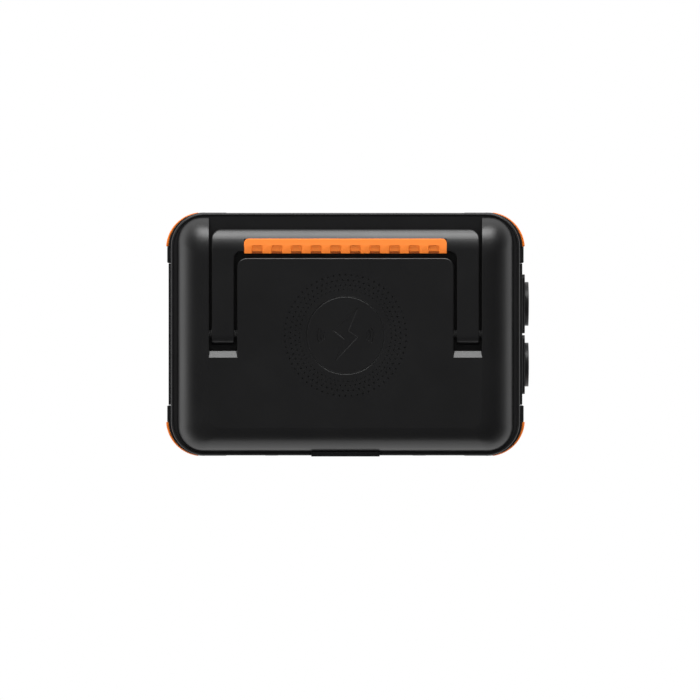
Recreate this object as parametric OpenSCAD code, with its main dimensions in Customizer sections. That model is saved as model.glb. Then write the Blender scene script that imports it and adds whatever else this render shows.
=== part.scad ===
// Jump starter pack: a box-shaped power pack with a folding U handle, two 12 V sockets on its right side,
// a front panel with ports, and a wireless charging area on top.
// +X is the right side, -Y the front with the display, +Z up. The feet stand on z = 0.

/* [Case] */
// Width of the case, without guards and panels
case_w = 227; // [218:0.5:240]
// Depth of the case, without guards
case_d = 157.8; // [152:0.2:170]
// Height of the whole pack on its feet
total_h = 168; // [164:1:180]
// Corner radius of the case in plan
case_r = 22; // [19:0.5:25]
// Wall thickness of the case and base
case_wall = 4.5; // [4:0.1:5]
// Height of the base cover
base_h = 26; // [24:0.5:28]
// Thickness of the base floor
floor_t = 3.5; // [3:0.1:4.5]
// Chamfer round the bottom edge of the base cover
base_chamfer = 4; // [2:0.5:5]
// Height of the feet under the base
foot_h = 4; // [3:0.5:5]
// Radius of a foot
foot_r = 12; // [10:0.5:13]
// Distance of the feet from the case sides
foot_inset = 26; // [24:0.5:30]

/* [Top cover] */
// Height of the cover's crown above the case rim
crown_h = 14; // [13:0.5:16]
// Thickness of the cover
cover_wall = 2.5; // [2:0.1:3]
// Wall of the case rim that stands round the cover
rim_wall = 1.7; // [1.4:0.1:2]
// Depth of the rim above the cover's seat
rim_h = 7; // [6.5:0.5:8]
// Groove between cover and rim on the left and right
groove_side = 2.5; // [1.5:0.1:3]
// Groove between cover and rim at the front and rear
groove_end = 0.95; // [0.8:0.05:1.5]
// Depth of the groove
groove_h = 3; // [2.5:0.5:3.5]
// Thickness of the gasket under the cover
gasket_t = 1; // [0.8:0.1:1.2]
// Width of the rounded shoulder on the left and right
shoulder_side = 20.5; // [19:0.5:22]
// Width of the rounded shoulder at the front
shoulder_front = 15.4; // [14.5:0.1:18]
// Width of the rounded shoulder at the rear
shoulder_rear = 21.3; // [20:0.1:23]
// Slope at which the shoulder leaves the flat top
shoulder_crease = 5; // [3:0.5:8]
// Radius of the plateau's rear corners
plateau_r = 6; // [4:0.5:8]
// Steepness of the channel's front end, as its run along the top
ramp_run = 5.5; // [4:0.5:7]

/* [Handle] */
// Outer width of the handle
handle_w = 174; // [170:0.5:176]
// Width of one arm
arm_w = 14.7; // [13:0.1:15.5]
// Thickness of arms and bar
arm_t = 12.8; // [12:0.1:13.2]
// Reach from the pivot to the bar's rear face
handle_reach = 68; // [67:0.5:70]
// Depth of the bar, front to back
bar_d = 14; // [13:0.5:15]
// Outer corner radius of the handle
handle_r = 6.2; // [5:0.2:9]
// Fillet inside the handle's corners
handle_fillet = 5; // [3:0.5:7]
// Gap between the arms and the channel's outer wall
arm_gap_out = 1.8; // [1.2:0.1:2.2]
// Gap between the arms and the plateau
arm_gap_in = 2; // [1.5:0.1:2.5]
// Gap between the handle and the recess floor
floor_gap = 0.8; // [0.5:0.1:1.2]
// Gap between the grip and the plateau
grip_gap = 2.9; // [2:0.1:3.5]
// Width of the grip
grip_w = 131.8; // [128:0.2:134]
// Depth of the grip, front to back
grip_d = 9.7; // [9:0.1:10.5]
// Thickness of the grip over the bar
grip_t = 3; // [2.5:0.1:3.5]
// Number of notches in the grip
notches = 10; // [8:1:10]
// Spacing of the notches
notch_pitch = 12.75; // [12:0.05:12.8]
// Width of a notch
notch_w = 6.8; // [5:0.1:8]
// Length of a notch from the grip's front edge
notch_l = 5.5; // [4:0.5:6.5]
// Depth of a notch
notch_depth = 1; // [0.6:0.1:1.4]
// Radius of the pivot pins
pin_r = 2.5; // [2:0.1:3]
// Wall of the bushes in the arms
bush_wall = 1.5; // [1:0.1:2]

/* [Guards and panels] */
// How far the black corner guards stand proud at the sides
guard_proud_side = 2.5; // [2:0.1:3]
// How far the black corner guards stand proud at the front and rear
guard_proud_end = 0.25; // [0.2:0.05:0.45]
// How far the orange bumpers stand proud at the sides
bumper_proud_side = 3.3; // [3.1:0.1:4]
// How far the orange bumpers stand proud at the front and rear
bumper_proud_end = 0.5; // [0.5:0.1:0.6]
// Depth of the pocket that the guards sit in
guard_pocket = 2; // [1.6:0.1:2.2]
// Height of the guards' lower edge
guard_low = 14; // [12:0.5:16]
// Distance from the rim down to the guards' upper edge
guard_drop = 8; // [8:0.5:12]
// Length of a guard along the side, from the front or rear face
guard_l_side = 32.4; // [31:0.2:34]
// Length of a guard along the front or rear, from the side face
guard_l_end = 36.2; // [35:0.2:38]
// Length of a bumper along the side, from the front or rear face
bumper_l_side = 21.9; // [21:0.1:25]
// Length of a bumper along the front or rear, from the side face
bumper_l_end = 18; // [17:0.1:25]
// How far the side panels stand proud
panel_proud = 1.65; // [1.2:0.05:2]
// Thickness of the side panels
panel_t = 2.85; // [2.6:0.05:3.2]
// Height of the side panels' lower edge
panel_low = 36; // [34:0.5:38]
// Distance from the rim down to the side and front panels' upper edge
panel_drop = 10; // [9:0.5:14]

/* [Side sockets] */
// Bore radius of a 12 V socket
socket_r = 10.5; // [10.4:0.05:10.6]
// Wall of the socket shell
socket_wall = 1; // [0.8:0.1:1.2]
// Length of the socket shell behind the bezel face, with the throat that holds its contact
socket_l = 42; // [40:0.5:48]
// Distance between the two sockets
socket_pitch = 39.6; // [39.2:0.1:41]
// Height of the socket axes
socket_z = 104; // [100:0.5:108]
// Side length of a socket bezel
bezel_w = 38.4; // [36:0.1:38.5]
// Thickness of a socket bezel
bezel_t = 1.8; // [1.6:0.1:2]
// Radius of a dust cap
cap_r = 14.3; // [14:0.1:14.6]
// Thickness of a dust cap
cap_t = 2.75; // [2.5:0.05:3]
// Rise of the dust cap's crown
cap_crown = 0.5; // [0.3:0.1:0.8]

/* [Front panel] */
// Thickness of the front panel
front_t = 2; // [1.8:0.1:2.3]
// Width of the display bezel
display_w = 44.6; // [42:0.1:46]
// How far the display bezel stands proud of the case
display_proud = 0.7; // [0.6:0.1:1]
// Width of the display window
window_w = 36; // [34:0.5:37]
// Height of the display window
window_h = 26; // [24:0.5:28]
// Radius of the power button
power_r = 7.5; // [7:0.1:8]
// Radius of the small buttons
button_r = 4.4; // [4:0.1:4.6]
// Travel of the buttons
button_travel = 1; // [0.8:0.1:1.2]
// Distance of the outer port columns from the middle
column_x = 48; // [46:0.5:50]
// Height of the lower edge of the lamp and jump port area
low_row = 45; // [44:0.5:46]

/* [Battery] */
// Radius of a battery cell
cell_r = 16.1; // [15.8:0.1:16.2]
// Length of a battery cell
cell_l = 70.5; // [69:0.5:71]
// Spacing of the battery cells
cell_pitch = 33; // [32.8:0.1:33.2]
// Rows of cells, side by side along the width
cell_rows = 4; // [3:1:4]
// Size of the battery management board's gap to the pack's edges
bms_inset = 16.5; // [14:0.5:18]

/* [Fan and vents] */
// Side length of the fan frame
fan_w = 60; // [56:0.5:62]
// Depth of the fan frame
fan_d = 15; // [14:0.5:16]
// Number of fan blades
fan_blades = 7; // [5:1:9]
// Height of a vent slot
slot_h = 3; // [2.5:0.1:3.4]
// Spacing of the vent slots
slot_pitch = 7; // [6:0.1:7.2]

/* [Hidden] */
$fn = 64;

// Fits: loose is the gap between pieces that are only laid together, running is a hinge's radial clearance
loose = 0.1;
running = 0.06;
press = 0.02;
far = 300;

// Case levels, from the floor up
hx = case_w / 2;
hy = case_d / 2;
in_x = hx - case_wall;
in_y = hy - case_wall;
in_r = case_r - case_wall;
split_z = foot_h + base_h;
floor_z = foot_h + floor_t;
rim_z = total_h - crown_h;
seat_z = rim_z - rim_h;
guard_top = rim_z - guard_drop;
panel_top = rim_z - panel_drop;

// Cover outline
cover_x = hx - rim_wall - groove_side;
cover_y = hy - rim_wall - groove_end;
cover_r = case_r - rim_wall;
flat_x = cover_x - shoulder_side;
flat_front = cover_y - shoulder_front;
flat_rear = cover_y - shoulder_rear;

// Handle and its recess
pivot_z = total_h - loose - arm_t / 2;
recess_z = pivot_z - arm_t / 2 - floor_gap;
handle_x = handle_w / 2;
arm_in = handle_x - arm_w;
channel_x = handle_x + arm_gap_out;
plateau_x = arm_in - arm_gap_in;
bar_in = handle_reach - bar_d;
grip_front = bar_in - 1.6;
plateau_y = grip_front - grip_gap;
channel_y = arm_t / 2 + 3.6;
bush_r = pin_r + running + bush_wall;
pin_head = 1.5;
pin_end = channel_x + cover_wall + 2;
clip_t = 0.8;
clip_r = pin_r + 0.6;
clip_end = 1.5;

// Side faces
panel_x = hx + panel_proud;
panel_in = panel_x - panel_t;
panel_y = hy - guard_l_side - 0.5;
bezel_x = panel_x + bezel_t;
shell_r = socket_r + socket_wall;
flange_r = shell_r + 1.5;
flange_t = 1;
nut_r = 15.5;
nut_t = 4;
insulator_t = 3;
contact_l = 3;
mouth_r = socket_r + 0.6;
throat_r = socket_r - 1;
throat_l = insulator_t + contact_l + 0.2;
cap_hinge_r = 0.8;
cap_barrel = 1.35;
cap_hinge_x = bezel_x + loose + cap_barrel;
cap_hinge_z = cap_r + 2.3;
lug_w = 7.2;
crown_run = 6;
ear_w = 2.4;

// Front face and what is behind it
front_y = -hy;
front_back = front_y + front_t;
front_x = hx - guard_l_end - 0.8;
board_y = -hy + 14.5;
board_t = 1.6;
button_board_w = 132;
window_top = panel_top - 6;
window_z = window_top - window_h / 2;
power_z = window_z - window_h / 2 - 10 - power_r;
display_low = power_z - power_r - 6;
button_z = window_top - 6;
port_z1 = button_z - 17;
port_z2 = port_z1 - 14;
port_z3 = port_z2 - 11;
lamp_x = -36;
lamp_w = 66;
lamp_h = 18;
lamp_z = low_row + lamp_h / 2;
jump_x = 46;
flap_t = 2.2;
flap_gap = 0.3;
jump_w = 38;
jump_h = 20;
jump_z = lamp_z;
pocket_t = 4.6;
port_l = 12;
input_w = 26;
input_h = 18;
input_r = 6;
stem_gap = 0.1;

// Battery pack between the button board and the rear wall, with as many cells in a row as fit there
pack_front = board_y + board_t + 2.8;
pack_back = in_y - 1.4;
holder_edge = 1;
row_cells = floor((pack_back - pack_front - holder_edge) / cell_pitch + 0.01);
holder_t = 4;
cell_z = floor_z + 3;
holder_w = cell_rows * cell_pitch + holder_edge;
holder_d = row_cells * cell_pitch + holder_edge;
pack_y = pack_back - holder_d / 2;
cell_top = cell_z + cell_l;
vent_r = 9;
bar_t = 0.3;
bar_w = 8;
bar_end = 6;
bar_l = (row_cells - 1) * cell_pitch + 2 * bar_end;
bms_z = cell_top + 8;
bms_w = holder_w - 2 * bms_inset;
bms_d = holder_d - 2 * bms_inset;
main_z = bms_z + 18;
post_r = 3.2;
input_z = (main_z + board_t + seat_z) / 2 - 1.8;

// Parts on the boards
mosfet = [10, 9, 4.5];
mosfet_pitch = 16;
converter = [40, 26, 12];
capacitor_r = 8;
capacitor_h = 16;
relay = [24, 24, 14];
sink_w = 60;
sink_d = 44;
sink_base = 4;
fins = 8;
fin_t = 2;
fin_h = 14;
coil_board_w = 72;
coil_board_d = 54;
shield_w = 53;

// Fasteners
m3_r = 1.5;
m3_head = 2.8;
m3_head_t = 2;
m2_r = 1;
m2_head = 1.9;
m2_head_t = 1.3;

black = [0.06, 0.06, 0.065];
orange = [0.95, 0.36, 0.08];

module plan(x, y, r) {
  square([2 * x, 2 * (y - r)], center = true);
  square([2 * (x - r), 2 * y], center = true);
  for (sx = [-1, 1], sy = [-1, 1])
    translate([sx * (x - r), sy * (y - r)]) circle(r);
}

module slab(x, y, r, z0, z1) {
  translate([0, 0, z0]) linear_extrude(z1 - z0) plan(x, y, r);
}

module box(x0, x1, y0, y1, z0, z1) {
  translate([x0, y0, z0]) cube([x1 - x0, y1 - y0, z1 - z0]);
}

module rod_x(r, x0, x1) {
  translate([x0, 0, 0]) rotate([0, 90, 0]) cylinder(r = r, h = x1 - x0);
}

module rod_y(r, y0, y1) {
  translate([0, y0, 0]) rotate([-90, 0, 0]) cylinder(r = r, h = y1 - y0);
}

module both_sides() {
  children();
  mirror([1, 0, 0]) children();
}

module four_corners() {
  for (sx = [0, 1], sy = [0, 1])
    mirror([sx, 0, 0]) mirror([0, sy, 0]) children();
}

// ---- Top cover ----

function shoulder_end(width) = 2 * atan(crown_h / width) - shoulder_crease;
function shoulder_arc(width) = width / (sin(shoulder_end(width)) - sin(shoulder_crease));

// What a shoulder takes off, seen end on, with the flat top's edge at the origin.
// inset follows the inner face.
module shoulder_cut(width, inset) {
  r = shoulder_arc(width);
  difference() {
    translate([0, -r * cos(shoulder_crease)]) square([width + 8, r * cos(shoulder_crease) + 8]);
    translate([-r * sin(shoulder_crease), -r * cos(shoulder_crease)]) circle(r - inset);
  }
}

module rear_shoulder(inset, half) {
  translate([-half, flat_rear, total_h])
    rotate([90, 0, 90]) linear_extrude(2 * half) shoulder_cut(shoulder_rear, inset);
}

// The cover's crowned block, or its inside when inset is the wall
module crown(inset, z0) {
  difference() {
    slab(cover_x - inset, cover_y - inset, cover_r - inset, z0, total_h - inset);
    both_sides()
      translate([flat_x, far / 2, total_h])
        rotate([90, 0, 0]) linear_extrude(far) shoulder_cut(shoulder_side, inset);
    rear_shoulder(inset, far / 2);
    mirror([0, 1, 0])
      translate([-far / 2, flat_front, total_h])
        rotate([90, 0, 90]) linear_extrude(far) shoulder_cut(shoulder_front, inset);
  }
}

module plateau_plan(inset) {
  x = plateau_x - inset;
  y = plateau_y - inset;
  translate([-x, -far]) square([2 * x, far + y - plateau_r]);
  translate([plateau_r - x, 0]) square([2 * (x - plateau_r), y]);
  for (s = [-1, 1]) translate([s * (x - plateau_r), y - plateau_r]) circle(plateau_r);
}

// The U-shaped recess for the handle, open to the rear. grow gives the outside of its walls.
module handle_recess(grow) {
  x = channel_x + grow;
  translate([0, 0, recess_z - grow])
    linear_extrude(far) difference() {
      translate([-x, -channel_y - grow]) square([2 * x, channel_y + 2 * grow + far]);
      plateau_plan(grow);
    }
  both_sides()
    translate([plateau_x - grow, 0, 0]) rotate([90, 0, 90])
      linear_extrude(channel_x - plateau_x + 2 * grow) polygon([
        [1 - channel_y, recess_z - grow],
        [-channel_y - grow, recess_z - grow],
        [-channel_y - grow - ramp_run, total_h + 1],
        [1 - channel_y, total_h + 1]]);
}

cover_boss_x = in_x - 10;
cover_boss_y = 48;
front_boss_x = 40;
front_boss_y = 7.4 - in_y;
boss_r = 4;

module at_cover_bosses() {
  for (s = [-1, 1], t = [-1, 1]) translate([s * cover_boss_x, t * cover_boss_y, 0]) children();
  for (s = [-1, 1]) translate([s * front_boss_x, front_boss_y, 0]) children();
}

module top_cover() {
  flange_z = seat_z + gasket_t;
  color(black) difference() {
    union() {
      difference() {
        union() {
          crown(0, rim_z - groove_h);
          slab(hx - rim_wall - 0.15, hy - rim_wall - 0.15, case_r - rim_wall - 0.15, flange_z,
            rim_z - groove_h);
        }
        difference() {
          crown(cover_wall, flange_z - 1);
          handle_recess(cover_wall);
        }
      }
      intersection() {
        at_cover_bosses() translate([0, 0, flange_z]) cylinder(r = boss_r, h = crown_h + rim_h);
        crown(1, flange_z);
      }
      coil_posts();
    }
    handle_recess(0);
    display_notch(loose);
    both_sides() translate([0, 0, pivot_z]) {
      rod_x(pin_r + press, plateau_x - cover_wall - 1, pin_end + press);
      rod_x(clip_r + press, pin_end - clip_end, pin_end + press);
    }
    at_coil_posts() translate([0, 0, coil_board_z]) cylinder(r = m2_r + press, h = 7);
    at_cover_bosses() translate([0, 0, flange_z - 1]) cylinder(r = m3_r + press, h = 7.5);
  }
}

module cover_gasket() {
  color([0.12, 0.12, 0.12]) difference() {
    slab(hx - rim_wall - 0.15, hy - rim_wall - 0.15, case_r - rim_wall - 0.15, seat_z,
      seat_z + gasket_t);
    slab(in_x + 0.2, in_y + 0.2, in_r + 0.2, seat_z - 1, seat_z + gasket_t + 1);
    display_notch(loose);
  }
}

// ---- Case and base ----

// The pockets in the case corners that the guards sit in
module guard_pockets(gap) {
  low = guard_low - gap;
  high = guard_top + gap;
  difference() {
    slab(far, far, case_r, low, high);
    slab(hx - guard_pocket, hy - guard_pocket, case_r - guard_pocket, low - 1, high + 1);
    slab(far + 1, hy - guard_l_side - gap, 1, low - 1, high + 1);
    slab(hx - guard_l_end - gap, far + 1, 1, low - 1, high + 1);
  }
}

module at_base_screws() {
  d = (in_r - 4) * cos(45);
  four_corners() translate([in_x - in_r + d, in_y - in_r + d, 0]) children();
  for (s = [-1, 1]) translate([s * (in_x - 4), 0, 0]) children();
}

module at_feet() {
  four_corners() translate([hx - foot_inset, hy - foot_inset, 0]) children();
}

module base_outline() {
  intersection() {
    slab(hx, hy, case_r, foot_h, split_z);
    translate([0, far / 2, foot_h]) rotate([90, 0, 0]) linear_extrude(far) chamfer_plan(hx);
    translate([-far / 2, 0, foot_h]) rotate([90, 0, 90]) linear_extrude(far) chamfer_plan(hy);
  }
}

module chamfer_plan(x) {
  polygon([[base_chamfer - x, 0], [x - base_chamfer, 0], [x, base_chamfer], [x, far], [-x, far],
    [-x, base_chamfer]]);
}

module base_cover() {
  color(black) difference() {
    union() {
      difference() {
        base_outline();
        slab(in_x, in_y, in_r, floor_z, split_z + 1);
      }
      difference() {
        union() {
          slab(in_x + 1, in_y + 1, in_r + 1, split_z - 6, split_z);
          slab(in_x - 0.15, in_y - 0.15, in_r - 0.15, split_z - 1, split_z + 3);
        }
        slab(in_x - 2.2, in_y - 2.2, in_r - 2.2, split_z - 7, split_z + 4);
      }
      at_base_screws() translate([0, 0, floor_z - 1]) cylinder(r = 5, h = split_z - floor_z + 1);
      at_feet() translate([0, 0, floor_z - 1]) cylinder(r = 4, h = 6);
    }
    guard_pockets(loose);
    at_base_screws() translate([0, 0, split_z]) cylinder(r = 5.3, h = 5);
    at_base_screws() translate([0, 0, foot_h - 1]) cylinder(r = m3_r + 0.2, h = far);
    at_base_screws() translate([0, 0, foot_h - 1]) cylinder(r = m3_head + 0.6, h = 13);
    at_feet() translate([0, 0, foot_h - 1]) cylinder(r = foot_r + loose, h = 1.8);
    at_feet() translate([0, 0, foot_h - 1]) cylinder(r = m3_r + press, h = 9);
    guard_screw_holes();
  }
}

module feet() {
  color([0.13, 0.13, 0.13]) at_feet() difference() {
    cylinder(r = foot_r, h = foot_h + 0.8);
    translate([0, 0, -1]) cylinder(r = m3_r + 0.2, h = foot_h + 2);
    translate([0, 0, -1]) cylinder(r = m3_head + 0.6, h = 3.4);
  }
}

module main_case() {
  color(black) difference() {
    union() {
      difference() {
        slab(hx, hy, case_r, split_z, rim_z);
        slab(in_x, in_y, in_r, split_z - 1, seat_z + 1);
        slab(hx - rim_wall, hy - rim_wall, case_r - rim_wall, seat_z, rim_z + 1);
      }
      case_bosses();
    }
    guard_pockets(loose);
    display_notch(loose);
    side_cuts();
    front_cuts();
    rear_cuts();
    at_base_screws() translate([0, 0, split_z - 1]) cylinder(r = m3_r + press, h = 13);
    at_cover_bosses() translate([0, 0, seat_z - 9]) cylinder(r = m3_r + 0.2, h = 10);
    guard_screw_holes();
  }
}

module case_bosses() {
  intersection() {
    union() {
      at_base_screws() translate([0, 0, split_z]) cylinder(r = 5, h = 14);
      for (s = [-1, 1], t = [-1, 1])
        translate([s * (in_x - 6.5), t * cover_boss_y, seat_z - 4]) cube([16, 10, 8], center = true);
      for (s = [-1, 1])
        translate([s * front_boss_x, -in_y + 5, seat_z - 4]) cube([10, 14, 8], center = true);
    }
    slab(in_x + 1, in_y + 1, in_r + 1, split_z, rim_z);
  }
}

// ---- Guards and bumpers ----

guard_screw_x = hx - guard_l_end + 7;
guard_screw_z = [guard_low + 8, guard_top - 8];

module at_guard_screws() {
  for (sx = [-1, 1], sy = [0, 1], z = guard_screw_z)
    mirror([0, sy, 0]) translate([sx * guard_screw_x, front_y - guard_proud_end, z]) children();
}

module guard_screw_holes() {
  at_guard_screws() rod_y(m3_r + press, -1, 6.6);
}

// The corner band between two outlines, on all four corners
module corner_band(out_x, out_y, in_px, in_py, len_x, len_y, z0, z1) {
  difference() {
    slab(hx + out_x, hy + out_y, case_r + out_x / 2, z0, z1);
    slab(hx - in_px, hy - in_py, case_r - in_px, z0 - 1, z1 + 1);
    slab(far, hy - len_y, 1, z0 - 1, z1 + 1);
    slab(hx - len_x, far, 1, z0 - 1, z1 + 1);
  }
}

module corner_guards() {
  inside = guard_pocket - loose;
  color(black) difference() {
    corner_band(guard_proud_side, guard_proud_end, inside, inside, guard_l_end, guard_l_side, guard_low,
      guard_top);
    difference() {
      slab(far, far, 1, guard_low - 1, guard_top + 1);
      slab(hx + 0.1, hy - 0.9, case_r, guard_low + 3, guard_top - 3);
      slab(far + 1, hy - bumper_l_side, 1, guard_low - 2, guard_top + 2);
      slab(hx - bumper_l_end, far + 1, 1, guard_low - 2, guard_top + 2);
    }
    at_guard_screws() rod_y(m3_r + 0.15, -1, far / 2);
    at_guard_screws() rod_y(m3_head + 0.2, -1, 1.05);
  }
}

module corner_bumpers() {
  color(orange) difference() {
    corner_band(bumper_proud_side, bumper_proud_end, guard_pocket - loose, guard_pocket - loose,
      bumper_l_end - loose, bumper_l_side - loose, guard_low, guard_top);
    slab(hx + 0.1 + loose, hy - 0.9 + loose, case_r + loose, guard_low + 3 - loose,
      guard_top - 3 + loose);
  }
}

// ---- Side panels ----

fan_z = (panel_low + panel_top) / 2;
vent_l = 60;
left_slots = 8;
right_slots = 4;
vent_low = panel_low + 10;

module slots(count, z0, length, depth) {
  for (i = [0 : count - 1])
    translate([0, 0, z0 + i * slot_pitch]) cube([depth, length, slot_h], center = true);
}

module panel_plate(inset) {
  box(panel_in, panel_x, inset - panel_y, panel_y - inset, panel_low + inset, panel_top - inset);
}

module at_panel_screws() {
  for (sy = [-1, 1], z = [panel_low + 6, panel_top - 6]) translate([0, sy * (panel_y - 6), z]) children();
}

module panel_screw_holes() {
  at_panel_screws() rod_x(m3_r + 0.15, panel_in - 1, panel_x + 1);
  at_panel_screws() rod_x(m3_head + 0.2, panel_x - m3_head_t + 0.4, panel_x + 1);
}

module left_side_panel() {
  color(black) mirror([1, 0, 0]) difference() {
    panel_plate(0);
    translate([panel_x, 0, 0]) slots(left_slots, fan_z - (left_slots - 1) / 2 * slot_pitch, vent_l, 20);
    panel_screw_holes();
  }
}

module right_side_panel() {
  color(black) difference() {
    panel_plate(0);
    translate([panel_x, 0, 0]) slots(right_slots, vent_low, vent_l, 20);
    at_sockets() rod_x(shell_r + loose, -far, far);
    panel_screw_holes();
  }
}

module side_cuts() {
  both_sides() box(panel_in, far, -panel_y - 0.5, panel_y + 0.5, panel_low - 0.5, panel_top + 0.5);
  both_sides() at_panel_screws() rod_x(m3_r + press, panel_in - 3.4, panel_in + 1);
  at_sockets() rod_x(nut_r + 1.5, in_x - 1, panel_in + 1);
  box(in_x - 1, panel_in + 1, -vent_l / 2, vent_l / 2, vent_low - 3,
    vent_low + (right_slots - 1) * slot_pitch + 3);
  translate([0, 0, fan_z]) rod_x(fan_w / 2 - 2, -panel_in - 1, -in_x + 1);
  at_fan_screws() rod_x(m2_r + press, -panel_in, -in_x + 1);
}

// ---- Side sockets ----

module at_socket(s) {
  translate([0, s * socket_pitch / 2, socket_z]) children();
}

module at_sockets() {
  for (s = [-1, 1]) at_socket(s) children();
}

module socket_bezel(s) {
  color(black) at_socket(s) difference() {
    union() {
      translate([panel_x, 0, 0]) rotate([90, 0, 90]) linear_extrude(bezel_t)
        plan(bezel_w / 2, bezel_w / 2, 3);
      for (t = [-1, 1])
        translate([panel_x, t * (lug_w / 2 + 0.3 + ear_w / 2) - ear_w / 2, -cap_hinge_z - cap_barrel])
          cube([cap_hinge_x + 1.2 - panel_x, ear_w, 2 * cap_barrel + 0.3]);
    }
    rod_x(shell_r + loose, panel_x - 1, far);
    rod_x(flange_r + loose, bezel_x - flange_t, bezel_x + 0.01);
    translate([cap_hinge_x, 0, -cap_hinge_z]) rod_y(cap_hinge_r + press, -lug_w, lug_w);
    box(bezel_x - 0.6, bezel_x + 0.01, -lug_w / 2 - 0.3, lug_w / 2 + 0.3, -cap_hinge_z - 2, -cap_hinge_z + 2);
  }
}

module socket_shell(s) {
  color([0.75, 0.75, 0.77]) at_socket(s) difference() {
    union() {
      rod_x(shell_r, bezel_x - socket_l, bezel_x);
      rod_x(flange_r, bezel_x - flange_t, bezel_x);
    }
    rod_x(socket_r, bezel_x - socket_l + throat_l, bezel_x + 1);
    rod_x(mouth_r, bezel_x - flange_t, bezel_x + 1);
    rod_x(throat_r, bezel_x - socket_l - 1, bezel_x);
  }
}

module socket_contact(s) {
  end = bezel_x - socket_l;
  color([0.8, 0.65, 0.3]) at_socket(s) {
    rod_x(throat_r - press, end, end + insulator_t);
    rod_x(3, end + insulator_t, end + insulator_t + contact_l);
    rod_x(2, end - 7, end);
  }
}

module socket_nuts() {
  color([0.7, 0.7, 0.72]) at_sockets() difference() {
    translate([panel_in - nut_t, 0, 0]) rotate([0, 90, 0]) cylinder(r = nut_r, h = nut_t, $fn = 6);
    rod_x(shell_r + press, 0, far);
  }
}

// Round dust cap with a shallow crown, hinged at its lower edge
module socket_cap(s) {
  face = bezel_x + loose;
  color([0.08, 0.08, 0.085]) at_socket(s) difference() {
    union() {
      rod_x(cap_r, face, face + cap_t - cap_crown);
      translate([face + cap_t - cap_crown, 0, 0]) rotate([0, 90, 0])
        cylinder(r1 = cap_r, r2 = cap_r - crown_run, h = cap_crown);
      rod_x(mouth_r - 0.2, bezel_x - flange_t + 0.2, face + 0.5);
      translate([face, -lug_w / 2, -cap_hinge_z]) cube([2 * cap_barrel - 0.5, lug_w, 5]);
      translate([cap_hinge_x, 0, -cap_hinge_z]) rod_y(cap_barrel, -lug_w / 2, lug_w / 2);
    }
    translate([cap_hinge_x, 0, -cap_hinge_z]) rod_y(cap_hinge_r + running, -lug_w, lug_w);
  }
}

// ---- Front panel ----

module display_notch(gap) {
  box(-display_w / 2 - gap, display_w / 2 + gap, -far, -cover_y, display_low - gap, rim_z + 2);
}

module front_cuts() {
  box(-front_x - loose, front_x + loose, -far, front_back, panel_low - 2 - loose, panel_top + loose);
  box(-front_x + 6, front_x - 6, -far, -in_y + 1, low_row - 4, panel_top - 4);
  at_front_screws() rod_y(m3_r + press, 0, 6);
}

module at_front_screws() {
  for (s = [-1, 1], z = [panel_low + 2.5, panel_top - 3.5])
    translate([s * (front_x - 3.2), front_y, z]) children();
}

module at_board_posts() {
  for (s = [-1, 1], z = [display_low + 3, button_z])
    translate([s * (button_board_w / 2 - 4), 0, z]) children();
}

module at_button(x, z) {
  translate([x, 0, z]) children();
}

module front_panel() {
  color(black) difference() {
    union() {
      box(-front_x, front_x, front_y, front_back, panel_low - 2, panel_top);
      box(jump_x - jump_w / 2 - 3, jump_x + jump_w / 2 + 3, front_y, front_y + pocket_t,
        jump_z - jump_h / 2 - 2.2, jump_z + jump_h / 2 + 3);
      at_board_posts() rod_y(post_r, front_back - 0.5, board_y);
    }
    display_notch(loose);
    at_button(-column_x, button_z) rod_y(button_r + loose, -far, -in_y);
    at_button(column_x, button_z) rod_y(button_r + loose, -far, -in_y);
    at_button(lamp_button_x, lamp_z) rod_y(button_r + loose, -far, -in_y);
    for (z = [port_z1, port_z2]) box(-column_x - 6.6, -column_x + 6.6, -far, -in_y, z - 2.9, z + 2.9);
    translate([-column_x, 0, port_z3]) usb_c_plan(loose, -far, -in_y);
    for (z = [port_z1, port_z3]) translate([column_x, 0, z]) rod_y(jack_r + loose, -far, -in_y);
    box(lamp_x - lamp_w / 2 - loose, lamp_x + lamp_w / 2 + loose, -far, -in_y, lamp_z - lamp_h / 2 - loose,
      lamp_z + lamp_h / 2 + loose);
    at_jump_flap() flap_pocket(jump_w, jump_h);
    box(jump_x - 13.6, jump_x + 13.6, -far, 0, jump_z - 5.6, jump_z + 5.6);
    at_front_screws() rod_y(m3_r + 0.15, -1, far);
    at_front_screws() rod_y(m3_head + 0.2, -1, 1.2);
    at_board_posts() rod_y(m2_r + press, board_y - 8, far);
  }
}

lamp_button_x = 12;
jack_r = 4.6;
display_face = front_y - display_proud;

module display_bezel() {
  color([0.05, 0.05, 0.055]) difference() {
    union() {
      box(-display_w / 2, display_w / 2, display_face, front_back, display_low, seat_z - 1);
      box(-display_w / 2, display_w / 2, display_face, -cover_y - 0.2, seat_z - 1.5, rim_z + 0.8);
    }
    box(-window_w / 2, window_w / 2, display_face - 1, display_face + 1.2, window_z - window_h / 2,
      window_z + window_h / 2);
    box(-window_w / 2 + 1.5, window_w / 2 - 1.5, -far, 0, window_z - window_h / 2 + 1.5,
      window_z + window_h / 2 - 1.5);
    translate([0, 0, power_z]) rod_y(power_r + loose, -far, 0);
  }
}

module display_lens() {
  color([0.15, 0.17, 0.2]) box(-window_w / 2 + loose, window_w / 2 - loose, display_face + 0.2,
    display_face + 1.2, window_z - window_h / 2 + loose, window_z + window_h / 2 - loose);
}

// Display module on its pin header, in front of the button board
module lcd_module() {
  color([0.3, 0.35, 0.33]) {
    box(-window_w / 2 - 1, window_w / 2 + 1, front_back, front_back + 4, window_z - window_h / 2 - 1,
      window_z + window_h / 2 + 1);
    box(-15, 15, front_back + 4, board_y, window_z + window_h / 2 - 4, window_z + window_h / 2 - 1);
  }
}

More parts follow.
